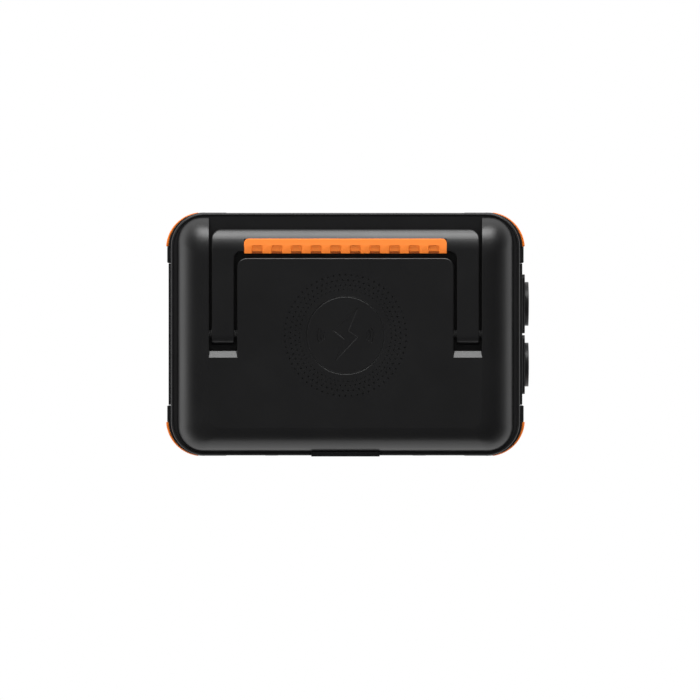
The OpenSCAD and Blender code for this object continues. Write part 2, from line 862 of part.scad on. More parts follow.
// A button that slides in the panel: face, flange behind the panel, and stem
module push_button(r, face, back) {
  rod_y(r, face, back + 0.3);
  rod_y(r + 1.2, back + 0.2, back + 1.2);
  rod_y(1.8, back + 1.1, board_y - 4.6 - button_travel - stem_gap);
}

module power_button() {
  color([0.1, 0.1, 0.1]) translate([0, 0, power_z]) push_button(power_r, display_face, front_back);
}

module small_button(x, z) {
  color([0.1, 0.1, 0.1]) translate([x, 0, z]) push_button(button_r, front_y - 0.2, front_back);
}

module button_board() {
  color([0.05, 0.3, 0.15]) difference() {
    union() {
      box(-button_board_w / 2, button_board_w / 2, board_y, board_y + board_t, display_low - 1,
        button_z + 4);
      box(lamp_button_x - 7, lamp_button_x + 7, board_y, board_y + board_t, lamp_z - 7, display_low);
      for (p = [[0, power_z], [-column_x, button_z], [column_x, button_z], [lamp_button_x, lamp_z]])
        translate([p[0], 0, p[1]]) rod_y(3, board_y - 4.6, board_y + 0.5);
    }
    at_board_posts() rod_y(m2_r + 0.15, 0, far);
    at_board_posts() rod_y(m2_r + 0.15, -far, 0);
  }
}

module usb_a_port(z) {
  back = board_y;
  color([0.7, 0.7, 0.72]) translate([-column_x, 0, z]) {
    difference() {
      box(-6.5, 6.5, front_y + 0.4, back, -2.8, 2.8);
      box(-6.2, 6.2, front_y, back - 2, -2.5, 2.5);
    }
    box(-5.5, 5.5, front_y + 2, back - 1.9, 0, 1.9);
  }
}

module usb_c_plan(grow, y0, y1) {
  translate([0, y1, 0]) rotate([90, 0, 0]) linear_extrude(y1 - y0)
    plan(4.5 + grow, 1.6 + grow, 1.59 + grow);
}

module usb_c_port() {
  color([0.7, 0.7, 0.72]) translate([-column_x, 0, port_z3]) {
    difference() {
      usb_c_plan(0, front_y + 0.4, board_y);
      usb_c_plan(-0.35, front_y, board_y - 5);
    }
    box(-3.2, 3.2, front_y + 2, board_y - 4.9, -0.35, 0.35);
  }
}

// Barrel jack: body with a round mouth and a centre pin
module dc_jack(z) {
  color([0.08, 0.08, 0.08]) translate([column_x, 0, z]) {
    difference() {
      union() {
        rod_y(jack_r, front_y + 0.2, front_back + 0.3);
        box(-4.9, 4.9, front_back + 0.2, board_y, -5.2, 5.2);
      }
      rod_y(2.8, front_y - 1, board_y - 3);
    }
    rod_y(1, front_y + 1.5, board_y - 2.5);
  }
}

// ---- Rubber flaps over the jump and input ports ----
// Flap frame: outer face at y = 0, hinge pin along X near the lower edge, inwards is +Y.

flap_barrel = flap_t / 2;
flap_pin_r = 0.8;

module flap(w, h) {
  translate([0, flap_barrel, flap_barrel]) difference() {
    union() {
      rod_x(flap_barrel, -w / 2, w / 2);
      box(-w / 2, w / 2, -flap_barrel, flap_barrel, 0, h - flap_barrel);
    }
    rod_x(flap_pin_r + running, -far, far);
  }
}

module flap_pocket(w, h) {
  box(-w / 2 - flap_gap, w / 2 + flap_gap, -5, flap_t + 0.2, -flap_gap, h + flap_gap);
  box(-6, 6, -5, 1.2, h, h + 2);
  translate([0, flap_barrel, flap_barrel]) rod_x(flap_pin_r + press, -w / 2 - 2, w / 2 + 2);
}

module flap_pin(w) {
  translate([0, flap_barrel, flap_barrel]) rod_x(flap_pin_r, -w / 2 - 1.9, w / 2 + 1.9);
}

module at_jump_flap() {
  translate([jump_x, front_y, jump_z - jump_h / 2]) children();
}

module at_input_flap() {
  translate([0, hy, input_z - input_h / 2]) rotate([0, 0, 180]) children();
}

module jump_port_cover() {
  color([0.1, 0.1, 0.1]) at_jump_flap() flap(jump_w, jump_h);
}

module input_port_cover() {
  color([0.1, 0.1, 0.1]) at_input_flap() flap(input_w, input_h);
}

module hinge_pins() {
  color([0.7, 0.7, 0.72]) {
    at_jump_flap() flap_pin(jump_w);
    at_input_flap() flap_pin(input_w);
    at_sockets() translate([cap_hinge_x, 0, -cap_hinge_z])
      rod_y(cap_hinge_r, -lug_w / 2 - 0.3 - ear_w, lug_w / 2 + 0.3 + ear_w);
  }
}

// Two-pole high current port: a keyed mouth with two contact tubes in it
module jump_port() {
  back = front_y + pocket_t;
  color([0.12, 0.25, 0.55]) translate([jump_x, 0, jump_z]) difference() {
    union() {
      box(-13.4, 13.4, front_y + flap_t + 0.3, back, -5.4, 5.4);
      box(-15.5, 15.5, back, back + port_l, -8, 8);
    }
    box(-12, 12, front_y, back + 3, -4.4, 4.4);
    for (s = [-1, 1]) translate([s * 6.2, 0, 0]) rod_y(3.5 + press, front_y, back + port_l + 1);
  }
}

module jump_port_contacts() {
  back = front_y + pocket_t;
  color([0.85, 0.65, 0.25]) translate([jump_x, 0, jump_z])
    for (s = [-1, 1]) translate([s * 6.2, 0, 0]) difference() {
      rod_y(3.5, back + 3, back + port_l + 1.5);
      rod_y(2.5, back + 2, back + port_l - 1);
    }
}

module lamp_lens() {
  color([0.85, 0.87, 0.9]) box(lamp_x - lamp_w / 2, lamp_x + lamp_w / 2, front_y + 0.1, front_back,
    lamp_z - lamp_h / 2, lamp_z + lamp_h / 2);
}

module lamp_reflector() {
  color([0.85, 0.85, 0.85]) difference() {
    box(lamp_x - lamp_w / 2 - 1.5, lamp_x + lamp_w / 2 + 1.5, front_back, board_y - 3,
      lamp_z - lamp_h / 2 - 1.5, lamp_z + lamp_h / 2 + 1.5);
    for (i = [-1, 0, 1]) translate([lamp_x + i * lamp_w / 3, front_back, lamp_z])
      rotate([-90, 0, 0]) translate([0, 0, -0.01]) cylinder(r1 = lamp_h / 2 - 0.5, r2 = 3.5, h = 9.6);
  }
}

module lamp_board() {
  color([0.9, 0.9, 0.85]) {
    box(lamp_x - lamp_w / 2 - 1.5, lamp_x + lamp_w / 2 + 1.5, board_y - 3, board_y - 1.4,
      lamp_z - lamp_h / 2 - 1.5, lamp_z + lamp_h / 2 + 1.5);
    for (i = [-1, 0, 1]) translate([lamp_x + i * lamp_w / 3, 0, lamp_z])
      box(-1.7, 1.7, board_y - 3.9, board_y - 2.9, -1.7, 1.7);
  }
}

// ---- Rear ----

module rear_cuts() {
  at_input_flap() flap_pocket(input_w, input_h);
  translate([0, 0, input_z]) rod_y(input_r + loose, 0, far);
}

module input_port() {
  color([0.08, 0.08, 0.08]) translate([0, 0, input_z]) difference() {
    union() {
      rod_y(input_r, in_y - 10, hy - flap_t - 0.4);
      rod_y(input_r + 3, in_y - 4, in_y);
    }
    rod_y(4, in_y - 6, far);
  }
  color([0.7, 0.7, 0.72]) translate([0, 0, input_z]) rod_y(1.2, in_y - 6.5, in_y + 1);
}

// ---- Handle ----

module handle_plan() {
  r = handle_r;
  difference() {
    union() {
      translate([-handle_x, 0]) square([2 * handle_x, handle_reach - r]);
      translate([r - handle_x, 0]) square([2 * (handle_x - r), handle_reach]);
      for (s = [-1, 1]) translate([s * (handle_x - r), handle_reach - r]) circle(r);
    }
    translate([-arm_in, -1]) square([2 * arm_in, bar_in - handle_fillet + 1]);
    translate([handle_fillet - arm_in, -1]) square([2 * (arm_in - handle_fillet), bar_in + 1]);
    for (s = [-1, 1])
      translate([s * (arm_in - handle_fillet), bar_in - handle_fillet]) circle(handle_fillet);
  }
}

grip_back = grip_front + grip_d;
grip_low = pivot_z - arm_t / 2;
grip_top = total_h;

module grip_block(grow) {
  box(-grip_w / 2, grip_w / 2, grip_front - grow, grip_back, grip_low - grow, grip_top + grow);
}

module grip_core() {
  box(-grip_w / 2, grip_w / 2, grip_front + grip_t, grip_back, grip_low + grip_t, grip_top - grip_t);
}

module handle() {
  color(black) difference() {
    union() {
      translate([0, 0, grip_low]) linear_extrude(arm_t) handle_plan();
      both_sides() translate([0, 0, pivot_z]) rod_x(arm_t / 2, arm_in, handle_x);
    }
    rear_shoulder(0, far / 2);
    difference() {
      grip_block(1);
      grip_core();
    }
    translate([0, 0, pivot_z]) rod_x(bush_r + press, -far, far);
  }
}

module handle_grip() {
  color(orange) difference() {
    grip_block(0);
    grip_core();
    for (i = [0 : notches - 1]) {
      x = (i - (notches - 1) / 2) * notch_pitch;
      box(x - notch_w / 2, x + notch_w / 2, grip_front - 1, grip_front + notch_l,
        grip_top - notch_depth, far);
      box(x - notch_w / 2, x + notch_w / 2, grip_front - 1, grip_front + notch_depth,
        grip_low + grip_t, far);
    }
  }
}

module handle_pins() {
  head = plateau_x - cover_wall - pin_head;
  color([0.75, 0.75, 0.77]) both_sides() translate([0, 0, pivot_z]) {
    rod_x(pin_r + 1.5, head, head + pin_head);
    difference() {
      rod_x(pin_r, head + pin_head, pin_end);
      difference() {
        rod_x(pin_r + 1, pin_end - clip_end, pin_end - clip_end + clip_t);
        rod_x(pin_r - 0.6, head, pin_end);
      }
    }
  }
}

module handle_pin_clips() {
  color([0.6, 0.6, 0.62]) both_sides() translate([0, 0, pivot_z]) difference() {
    rod_x(clip_r, pin_end - clip_end + press, pin_end - clip_end + clip_t - press);
    rod_x(pin_r - 0.6 + press, 0, far);
  }
}

module handle_bushes() {
  color([0.85, 0.85, 0.8]) both_sides() translate([0, 0, pivot_z]) difference() {
    rod_x(bush_r, arm_in, handle_x);
    rod_x(pin_r + running, 0, far);
  }
}

// ---- Wireless charging under the plateau ----

coil_t = 1.4;
coil_r = 25;
coil_z = total_h - cover_wall - 0.1 - coil_t;
shield_z = coil_z - 1;
coil_board_z = shield_z - 5.5;

module at_coil_posts() {
  for (sx = [-1, 1], sy = [-1, 1])
    translate([sx * (coil_board_w / 2 - 5), sy * (coil_board_d / 2 - 5), 0]) children();
}

module coil_posts() {
  at_coil_posts() translate([0, 0, coil_board_z + board_t])
    cylinder(r = post_r, h = total_h - 1 - coil_board_z - board_t);
  }

module charging_coil() {
  color([0.75, 0.4, 0.2]) translate([0, 0, coil_z]) difference() {
    cylinder(r = coil_r, h = coil_t);
    translate([0, 0, -1]) cylinder(r = 10, h = coil_t + 2);
  }
}

module ferrite_shield() {
  color([0.2, 0.2, 0.2]) {
    translate([-shield_w / 2, -shield_w / 2, shield_z]) cube([shield_w, shield_w, 1]);
    for (s = [-1, 1]) translate([s * 20 - 2, -2, coil_board_z + board_t])
      cube([4, 4, shield_z - coil_board_z - board_t]);
  }
}

module coil_board() {
  color([0.05, 0.3, 0.15]) difference() {
    translate([-coil_board_w / 2, -coil_board_d / 2, coil_board_z])
      cube([coil_board_w, coil_board_d, board_t]);
    at_coil_posts() translate([0, 0, coil_board_z - 1]) cylinder(r = m2_r + 0.15, h = 5);
  }
}

// ---- Battery, boards and fan ----

module at_cells() {
  for (i = [0 : cell_rows - 1], j = [0 : row_cells - 1])
    translate([(i - (cell_rows - 1) / 2) * cell_pitch, pack_y + (j - (row_cells - 1) / 2) * cell_pitch, 0])
      children();
}

module at_cell_rows() {
  for (i = [0 : cell_rows - 1])
    translate([(i - (cell_rows - 1) / 2) * cell_pitch, pack_y, 0]) children();
}

module battery_cells() {
  color([0.1, 0.35, 0.6]) at_cells() translate([0, 0, cell_z]) cylinder(r = cell_r, h = cell_l);
}

module holder_block(z0, z1) {
  translate([-holder_w / 2, pack_y - holder_d / 2, z0]) cube([holder_w, holder_d, z1 - z0]);
}

module lower_cell_holder() {
  color([0.15, 0.15, 0.15]) difference() {
    holder_block(floor_z, cell_z + holder_t);
    at_cells() translate([0, 0, cell_z]) cylinder(r = cell_r + 0.1, h = far);
    at_cells() cylinder(r = vent_r, h = far);
  }
}

module at_pack_posts() {
  for (sx = [-1, 1], sy = [-1, 1])
    translate([sx * (holder_w / 2 - 4), pack_y + sy * (holder_d / 2 - 4), 0]) children();
}

module upper_cell_holder() {
  color([0.15, 0.15, 0.15]) difference() {
    union() {
      holder_block(cell_top - holder_t, cell_top + 3);
      at_pack_posts() translate([0, 0, cell_top + 2]) cylinder(r = post_r, h = main_z - cell_top - 2);
      for (sx = [-1, 1], sy = [-1, 1])
        translate([sx * cell_pitch, pack_y + sy * (bms_d / 2 - 5), cell_top + 2])
          cylinder(r = post_r, h = bms_z - cell_top - 2);
    }
    at_cells() cylinder(r = cell_r + 0.1, h = cell_top);
    at_cells() cylinder(r = vent_r, h = far);
    at_pack_posts() translate([0, 0, main_z - 6]) cylinder(r = m2_r + press, h = 10);
    at_cell_rows()
      box(-bar_w / 2 - 0.2, bar_w / 2 + 0.2, -bar_l / 2 - 0.2, bar_l / 2 + 0.2, cell_top, cell_top + 4);
  }
}

// Nickel strips that join the cells of each row
module bus_bars() {
  color([0.7, 0.7, 0.68]) at_cell_rows()
    box(-bar_w / 2, bar_w / 2, -bar_l / 2, bar_l / 2, cell_top, cell_top + bar_t);
}

module bms_board() {
  color([0.05, 0.3, 0.15]) translate([0, pack_y, bms_z]) {
    translate([-bms_w / 2, -bms_d / 2, 0]) cube([bms_w, bms_d, board_t]);
    for (i = [-2 : 2]) translate([i * mosfet_pitch - mosfet[0] / 2, 10 - bms_d / 2, board_t]) cube(mosfet);
    translate([-converter[0] / 2, bms_d / 2 - converter[1] - 14, board_t]) cube(converter);
  }
}

module main_board() {
  color([0.05, 0.3, 0.15]) difference() {
    union() {
      translate([-holder_w / 2, pack_y - holder_d / 2, main_z]) cube([holder_w, holder_d, board_t]);
      for (x = [-40, -10]) translate([x, pack_y + 30, main_z + board_t])
        cylinder(r = capacitor_r, h = capacitor_h);
      translate([18, pack_y + 20, main_z + board_t]) cube(relay);
    }
    at_pack_posts() translate([0, 0, main_z - 1]) cylinder(r = m2_r + 0.15, h = 5);
  }
}

module heat_sink() {
  color([0.8, 0.8, 0.82]) translate([-50, pack_y - 42, main_z + board_t]) {
    cube([sink_w, sink_d, sink_base]);
    for (i = [0 : fins - 1]) translate([i * (sink_w - 4) / (fins - 1), 0, sink_base - 0.5])
      cube([fin_t, sink_d, fin_h]);
  }
}

fan_x = -in_x;
fan_gap = 0.6;
duct_r = fan_w / 2 - 2;
hub_r = 12;

module at_fan_screws() {
  for (sy = [-1, 1], sz = [-1, 1])
    translate([0, sy * (fan_w / 2 - 4), fan_z + sz * (fan_w / 2 - 4)]) children();
}

module fan_frame() {
  color([0.12, 0.12, 0.12]) difference() {
    union() {
      difference() {
        box(fan_x, fan_x + fan_d, -fan_w / 2, fan_w / 2, fan_z - fan_w / 2, fan_z + fan_w / 2);
        translate([0, 0, fan_z]) rod_x(duct_r, fan_x - 1, fan_x + fan_d + 1);
      }
      translate([0, 0, fan_z]) rod_x(hub_r, fan_x + fan_d - 2, fan_x + fan_d);
      for (a = [45 : 90 : 315]) translate([fan_x + fan_d - 2, 0, fan_z]) rotate([a, 0, 0])
        translate([0.1, -1.5, hub_r - 1]) cube([1.7, 3, duct_r - hub_r + 2]);
      translate([0, 0, fan_z]) rod_x(2, fan_x + 4, fan_x + fan_d - 1);
    }
    at_fan_screws() rod_x(m2_r + 0.15, -far, far);
  }
}

module fan_rotor() {
  color([0.15, 0.15, 0.15]) translate([0, 0, fan_z]) {
    difference() {
      rod_x(hub_r, fan_x + 2, fan_x + fan_d - 2 - fan_gap);
      rod_x(2 + running, fan_x + 3.5, fan_x + fan_d);
    }
    for (i = [0 : fan_blades - 1]) rotate([i * 360 / fan_blades, 0, 0])
      translate([fan_x + 3, 0, hub_r - 1]) rotate([0, 0, 35])
        cube([9, 1.2, duct_r - hub_r + 1 - fan_gap - 1]);
  }
}

// ---- Fasteners ----

// A pan head screw along +Z, head at the origin and shank upwards
module screw(r, length, head_r, head_t) {
  translate([0, 0, -head_t]) cylinder(r = head_r, h = head_t);
  translate([0, 0, -0.1]) cylinder(r = r, h = length + 0.1);
}

module case_screws() {
  color([0.65, 0.65, 0.67]) {
    at_base_screws() translate([0, 0, foot_h + 12])
      screw(m3_r, base_h - 2, m3_head, m3_head_t);
    at_cover_bosses() translate([0, 0, seat_z - 8]) screw(m3_r, 14, m3_head, m3_head_t);
    at_feet() translate([0, 0, 2.4]) screw(m3_r, 8, m3_head, 1.6);
    at_guard_screws() translate([0, 1.05, 0]) rotate([-90, 0, 0]) screw(m3_r, 5, m3_head, 0.9);
    both_sides() at_panel_screws() translate([panel_x - m3_head_t + 0.4, 0, 0]) rotate([0, -90, 0])
      screw(m3_r, 4, m3_head, m3_head_t - 0.5);
    at_front_screws() translate([0, 1.2, 0]) rotate([-90, 0, 0]) screw(m3_r, 4, m3_head, 1.1);
  }
}

module small_screws() {
  color([0.65, 0.65, 0.67]) {
    at_fan_screws() translate([fan_x + fan_d, 0, 0]) rotate([0, -90, 0])
      screw(m2_r, fan_d + 2.5, m2_head, m2_head_t);
    at_board_posts() translate([0, board_y + board_t, 0]) rotate([90, 0, 0])
      screw(m2_r, 7, m2_head, m2_head_t);
    at_coil_posts() translate([0, 0, coil_board_z]) screw(m2_r, 5, m2_head, m2_head_t);
    at_pack_posts() translate([0, 0, main_z + board_t]) mirror([0, 0, 1])
      screw(m2_r, 6, m2_head, m2_head_t);
  }
}

base_cover();
main_case();
top_cover();
cover_gasket();
left_side_panel();
right_side_panel();
corner_guards();
corner_bumpers();
front_panel();
display_bezel();
display_lens();
lcd_module();
power_button();
small_button(-column_x, button_z);  // usb_button
small_button(column_x, button_z);  // dc_button
small_button(lamp_button_x, lamp_z);  // lamp_button
button_board();
usb_a_port(port_z1);  // usb_a_port_upper
usb_a_port(port_z2);  // usb_a_port_lower
usb_c_port();
dc_jack(port_z1);  // dc_jack_upper
dc_jack(port_z3);  // dc_jack_lower
jump_port();
jump_port_contacts();
jump_port_cover();
lamp_lens();
lamp_reflector();
lamp_board();
handle();
handle_grip();
handle_pins();
handle_bushes();
handle_pin_clips();
socket_bezel(-1);  // socket_bezel_front
socket_bezel(1);  // socket_bezel_rear
socket_shell(-1);  // socket_shell_front
socket_shell(1);  // socket_shell_rear
socket_contact(-1);  // socket_contact_front
socket_contact(1);  // socket_contact_rear
socket_nuts();
socket_cap(-1);  // socket_cap_front
socket_cap(1);  // socket_cap_rear
hinge_pins();
charging_coil();
ferrite_shield();
coil_board();
battery_cells();
lower_cell_holder();
upper_cell_holder();
bus_bars();
bms_board();
main_board();
heat_sink();
fan_frame();
fan_rotor();
input_port();
input_port_cover();
feet();
case_screws();
small_screws();
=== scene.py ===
import bpy
import bmesh
from math import acos, atan, atan2, cos, pi, radians, sin, sqrt
from mathutils import Matrix, Vector


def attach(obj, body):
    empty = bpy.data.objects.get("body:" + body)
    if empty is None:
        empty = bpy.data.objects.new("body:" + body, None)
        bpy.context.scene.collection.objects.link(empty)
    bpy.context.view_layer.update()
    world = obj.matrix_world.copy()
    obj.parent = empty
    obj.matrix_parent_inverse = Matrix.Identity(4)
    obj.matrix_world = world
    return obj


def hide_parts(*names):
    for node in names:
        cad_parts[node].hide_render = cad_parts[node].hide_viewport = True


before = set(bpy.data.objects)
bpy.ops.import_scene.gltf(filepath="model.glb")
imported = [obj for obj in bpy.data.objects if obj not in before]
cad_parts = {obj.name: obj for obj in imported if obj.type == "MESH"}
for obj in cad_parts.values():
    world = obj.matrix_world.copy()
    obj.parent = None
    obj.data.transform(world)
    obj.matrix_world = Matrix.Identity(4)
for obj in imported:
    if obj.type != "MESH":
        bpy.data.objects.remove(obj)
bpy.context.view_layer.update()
mm = 0.001
sameSpot = 1e-6  # two points this close are one
sameLevel = 1e-5  # a point this close to a level lies on it
print("frame loaded:", len(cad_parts), "nodes")


# A new node, with properties and inputs set by name
def addNode(tree, kind, **values):
    node = tree.nodes.new(kind)
    for name, value in values.items():
        if name in node.bl_rna.properties:
            setattr(node, name, value)
        else:
            node.inputs[name].default_value = value
    return node


def setInputs(node, values):
    for name, value in values.items():
        node.inputs[name].default_value = value


def join(tree, source, target):
    tree.links.new(source, target)


# One sum; each term is a number or a socket
def calc(tree, operation, first, second=None, third=None, clamp=False):
    node = tree.nodes.new("ShaderNodeMath")
    node.operation = operation
    node.use_clamp = clamp
    for place, value in enumerate((first, second, third)):
        if value is None:
            continue
        if isinstance(value, (int, float)):
            node.inputs[place].default_value = value
        else:
            tree.links.new(value, node.inputs[place])
    return node.outputs[0]


def addNoise(tree, coords, scale, detail, rough):
    noise = addNode(tree, "ShaderNodeTexNoise", Detail=detail, Roughness=rough)
    join(tree, coords, noise.inputs["Vector"])
    if isinstance(scale, float):
        noise.inputs["Scale"].default_value = scale
    else:
        join(tree, scale, noise.inputs["Scale"])
    return noise.outputs["Fac"]


# Two colours blended; each is numbers or a socket
def mixColors(tree, factor, first, second):
    mix = addNode(tree, "ShaderNodeMix", data_type="RGBA")
    join(tree, factor, mix.inputs["Factor"])
    for place, color in (("A", first), ("B", second)):
        if isinstance(color, tuple):
            mix.inputs[place].default_value = (*color, 1)
        else:
            join(tree, color, mix.inputs[place])
    return mix.outputs["Result"]


def newMaterial(name):
    material = bpy.data.materials.new(name)
    material.use_nodes = True
    return material, material.node_tree, material.node_tree.nodes["Principled BSDF"]


# A node group whose sockets are all numbers
def newGroup(name, inputs, outputs):
    group = bpy.data.node_groups.new(name, "ShaderNodeTree")
    for socket, value in inputs.items():
        made = group.interface.new_socket(socket, in_out="INPUT", socket_type="NodeSocketFloat")
        made.default_value = value
    for socket in outputs:
        group.interface.new_socket(socket, in_out="OUTPUT", socket_type="NodeSocketFloat")
    return group, group.nodes.new("NodeGroupInput"), group.nodes.new("NodeGroupOutput")


grainSettings = {"size": 0.4 * mm, "patch": 30 * mm, "fine": (2.0, 0.6), "slow": (4.0, 0.55),
                 "pitScale": 0.6, "pitHeight": 0.5, "slowTone": 0.4}


# Fine moulded grain: height for the bump, and slow changes of tone and gloss
def makeGrain(look):
    group, start, end = newGroup("moldGrain", {"Size": look["size"], "Patch": look["patch"]},
                                 ("Height", "Tone", "Gloss"))
    coords = group.nodes.new("ShaderNodeTexCoord").outputs["Object"]
    fine = addNoise(group, coords, calc(group, "DIVIDE", 1.0, start.outputs["Size"]), *look["fine"])
    pits = group.nodes.new("ShaderNodeTexVoronoi")
    join(group, coords, pits.inputs["Vector"])
    join(group, calc(group, "DIVIDE", look["pitScale"], start.outputs["Size"]), pits.inputs["Scale"])
    height = calc(group, "MULTIPLY_ADD", pits.outputs["Distance"], look["pitHeight"], fine)
    join(group, height, end.inputs["Height"])
    slow = addNoise(group, coords, calc(group, "DIVIDE", 1.0, start.outputs["Patch"]), *look["slow"])
    join(group, calc(group, "SUBTRACT", slow, 0.5), end.inputs["Gloss"])
    tone = calc(group, "SUBTRACT", fine, 0.5)
    join(group, calc(group, "MULTIPLY_ADD", slow, look["slowTone"], tone), end.inputs["Tone"])
    return group


# A noise is its scale, detail and roughness; a cut is the gain and offset that leave only its peaks
wearSettings = {
    "edgeCut": (9.0, -4.75), "breaks": (420.0, 5.0, 0.7), "breakCut": (3.0, -1.2),
    "specks": (2600.0, 2.0, 0.5), "speckCut": (9.0, -6.1),
    "drift": (38.0, 3.0, 0.6), "driftCut": (2.2, -0.7),
}


# Rubbed edges, and light dust on what faces up
def makeWear(look):
    group, start, end = newGroup("wearAndDust", {"Wear": 0.5, "Dust": 0.2}, ("Rub", "Dust"))
    coords = group.nodes.new("ShaderNodeTexCoord").outputs["Object"]
    facts = group.nodes.new("ShaderNodeNewGeometry")

    def peaks(value, cut):
        return calc(group, "MULTIPLY_ADD", value, *look[cut], clamp=True)

    bend = peaks(facts.outputs["Pointiness"], "edgeCut")
    broken = peaks(addNoise(group, coords, *look["breaks"]), "breakCut")
    rub = calc(group, "MULTIPLY", calc(group, "MULTIPLY", bend, broken), start.outputs["Wear"])
    join(group, rub, end.inputs["Rub"])
    grains = peaks(addNoise(group, coords, *look["specks"]), "speckCut")
    thick = peaks(addNoise(group, coords, *look["drift"]), "driftCut")
    up = group.nodes.new("ShaderNodeSeparateXYZ")
    join(group, facts.outputs["Normal"], up.inputs[0])
    lying = calc(group, "MAXIMUM", up.outputs[2], 0.0)
    dust = calc(group, "MULTIPLY", calc(group, "MULTIPLY", grains, thick), lying)
    join(group, calc(group, "MULTIPLY", dust, start.outputs["Dust"]), end.inputs["Dust"])
    return group


grainGroup = makeGrain(grainSettings)
wearGroup = makeWear(wearSettings)

# What a moulded finish has where it doesn't say otherwise
plainLook = {
    "grain": 0.4 * mm, "patch": 30 * mm, "bump": 0.12, "bumpDepth": 0.35, "tone": 0.25, "toneMiddle": 0.3,
    "wear": 0.3, "rubColor": None, "rubLift": (1.6, 0.02), "dust": 0.1, "dustColor": (0.34, 0.32, 0.3),
    "dustRough": 0.3, "glossSpan": 0.12, "specular": 0.5, "metal": 0.0,
}


# One recipe for moulded plastics, rubbers and metals, with values of their own
def moldedMaterial(name, color, rough, **more):
    look = {**plainLook, **more}
    material, tree, shader = newMaterial(name)
    grain = addNode(tree, "ShaderNodeGroup", node_tree=grainGroup)
    setInputs(grain, {"Size": look["grain"], "Patch": look["patch"]})
    wear = addNode(tree, "ShaderNodeGroup", node_tree=wearGroup)
    setInputs(wear, {"Wear": look["wear"], "Dust": look["dust"]})
    dark = tuple(part * (1 - look["tone"]) for part in color)
    light = tuple(min(1.0, part * (1 + look["tone"])) for part in color)
    gain, lift = look["rubLift"]
    rubColor = look["rubColor"] or tuple(min(1.0, part * gain + lift) for part in color)
    tone = calc(tree, "ADD", grain.outputs["Tone"], look["toneMiddle"], clamp=True)
    rubbed = mixColors(tree, wear.outputs["Rub"], mixColors(tree, tone, dark, light), rubColor)
    dusty = mixColors(tree, wear.outputs["Dust"], rubbed, look["dustColor"])
    join(tree, dusty, shader.inputs["Base Color"])
    gloss = calc(tree, "MULTIPLY_ADD", grain.outputs["Gloss"], look["glossSpan"], rough)
    gloss = calc(tree, "MULTIPLY_ADD", wear.outputs["Dust"], look["dustRough"], gloss, clamp=True)
    join(tree, gloss, shader.inputs["Roughness"])
    depth = look["grain"] * look["bumpDepth"]
    bump = addNode(tree, "ShaderNodeBump", Strength=look["bump"], Distance=depth)
    join(tree, grain.outputs["Height"], bump.inputs["Height"])
    join(tree, bump.outputs["Normal"], shader.inputs["Normal"])
    setInputs(shader, {"Metallic": look["metal"], "Specular IOR Level": look["specular"]})
    return material


# By the record's slot, or a name of our own: material, colour, roughness and what differs
finishes = {
    "coverBlack": moldedMaterial(
        "coverBlack", (0.0042, 0.0042, 0.0045), 0.33, bump=0.06, wear=0.08, dust=0.0, specular=0.75),
    "black_plastic": moldedMaterial(
        "caseBlack", (0.0055, 0.0055, 0.0058), 0.4, bump=0.15, wear=0.2, dust=0.03, specular=0.55),
    "panel_plastic": moldedMaterial(
        "panelBlack", (0.006, 0.006, 0.0064), 0.45, bump=0.25, grain=0.6 * mm, dust=0.03, specular=0.4),
    "gasket_rubber": moldedMaterial("gasketRubber", (0.02, 0.02, 0.02), 0.8),
    "orange_rubber": moldedMaterial(
        "orangeRubber", (0.92, 0.217, 0.02), 0.55, bump=0.18, tone=0.08, wear=0.25, dust=0.02,
        rubColor=(0.94, 0.32, 0.09), specular=0.4),
    "gloss_black": moldedMaterial("glossBlack", (0.006, 0.006, 0.007), 0.12, bump=0.02, glossSpan=0.05),
    "button_plastic": moldedMaterial("buttonPlastic", (0.018, 0.018, 0.019), 0.4, bump=0.15),
    "circuit_board": moldedMaterial("circuitBoard", (0.01, 0.12, 0.05), 0.35, grain=2 * mm, tone=0.5),
    "plated_steel": moldedMaterial("platedSteel", (0.62, 0.61, 0.58), 0.28, metal=1.0, bump=0.05, tone=0.06),
    "socket_plastic": moldedMaterial("socketPlastic", (0.008, 0.008, 0.0084), 0.4, bump=0.1),
    "blue_plastic": moldedMaterial("bluePlastic", (0.02, 0.07, 0.3), 0.4, bump=0.15, tone=0.12),
    "contact_brass": moldedMaterial("contactBrass", (0.78, 0.52, 0.18), 0.25, metal=1.0, tone=0.1),
    "black_rubber": moldedMaterial("blackRubber", (0.016, 0.016, 0.016), 0.7, bump=0.3, dust=0.08),
    "white_plastic": moldedMaterial("whitePlastic", (0.72, 0.72, 0.69), 0.5, tone=0.05),
    "copper_wire": moldedMaterial("copperWire", (0.6, 0.24, 0.1), 0.3, metal=1.0, tone=0.2),
    "ferrite": moldedMaterial("ferrite", (0.05, 0.05, 0.05), 0.75, bump=0.3),
    "cell_sleeve": moldedMaterial("cellSleeve", (0.02, 0.11, 0.34), 0.22, bump=0.04, tone=0.1),
    "heat_sink_aluminium": moldedMaterial("sinkAluminium", (0.72, 0.72, 0.73), 0.35, metal=1.0, tone=0.08),
    "pinSteel": moldedMaterial("pinSteel", (0.16, 0.16, 0.16), 0.5, metal=1.0, tone=0.1),
    "screw_steel": moldedMaterial("screwSteel", (0.1, 0.1, 0.105), 0.35, metal=1.0, tone=0.2),
}

windowSettings = {
    "tints": ((0.16, 0.18, 0.2), (0.22, 0.24, 0.26)), "patch": 20 * mm, "rough": 0.06, "roughSpan": 0.05,
    "shader": {"Transmission Weight": 0.9, "IOR": 1.49},
}


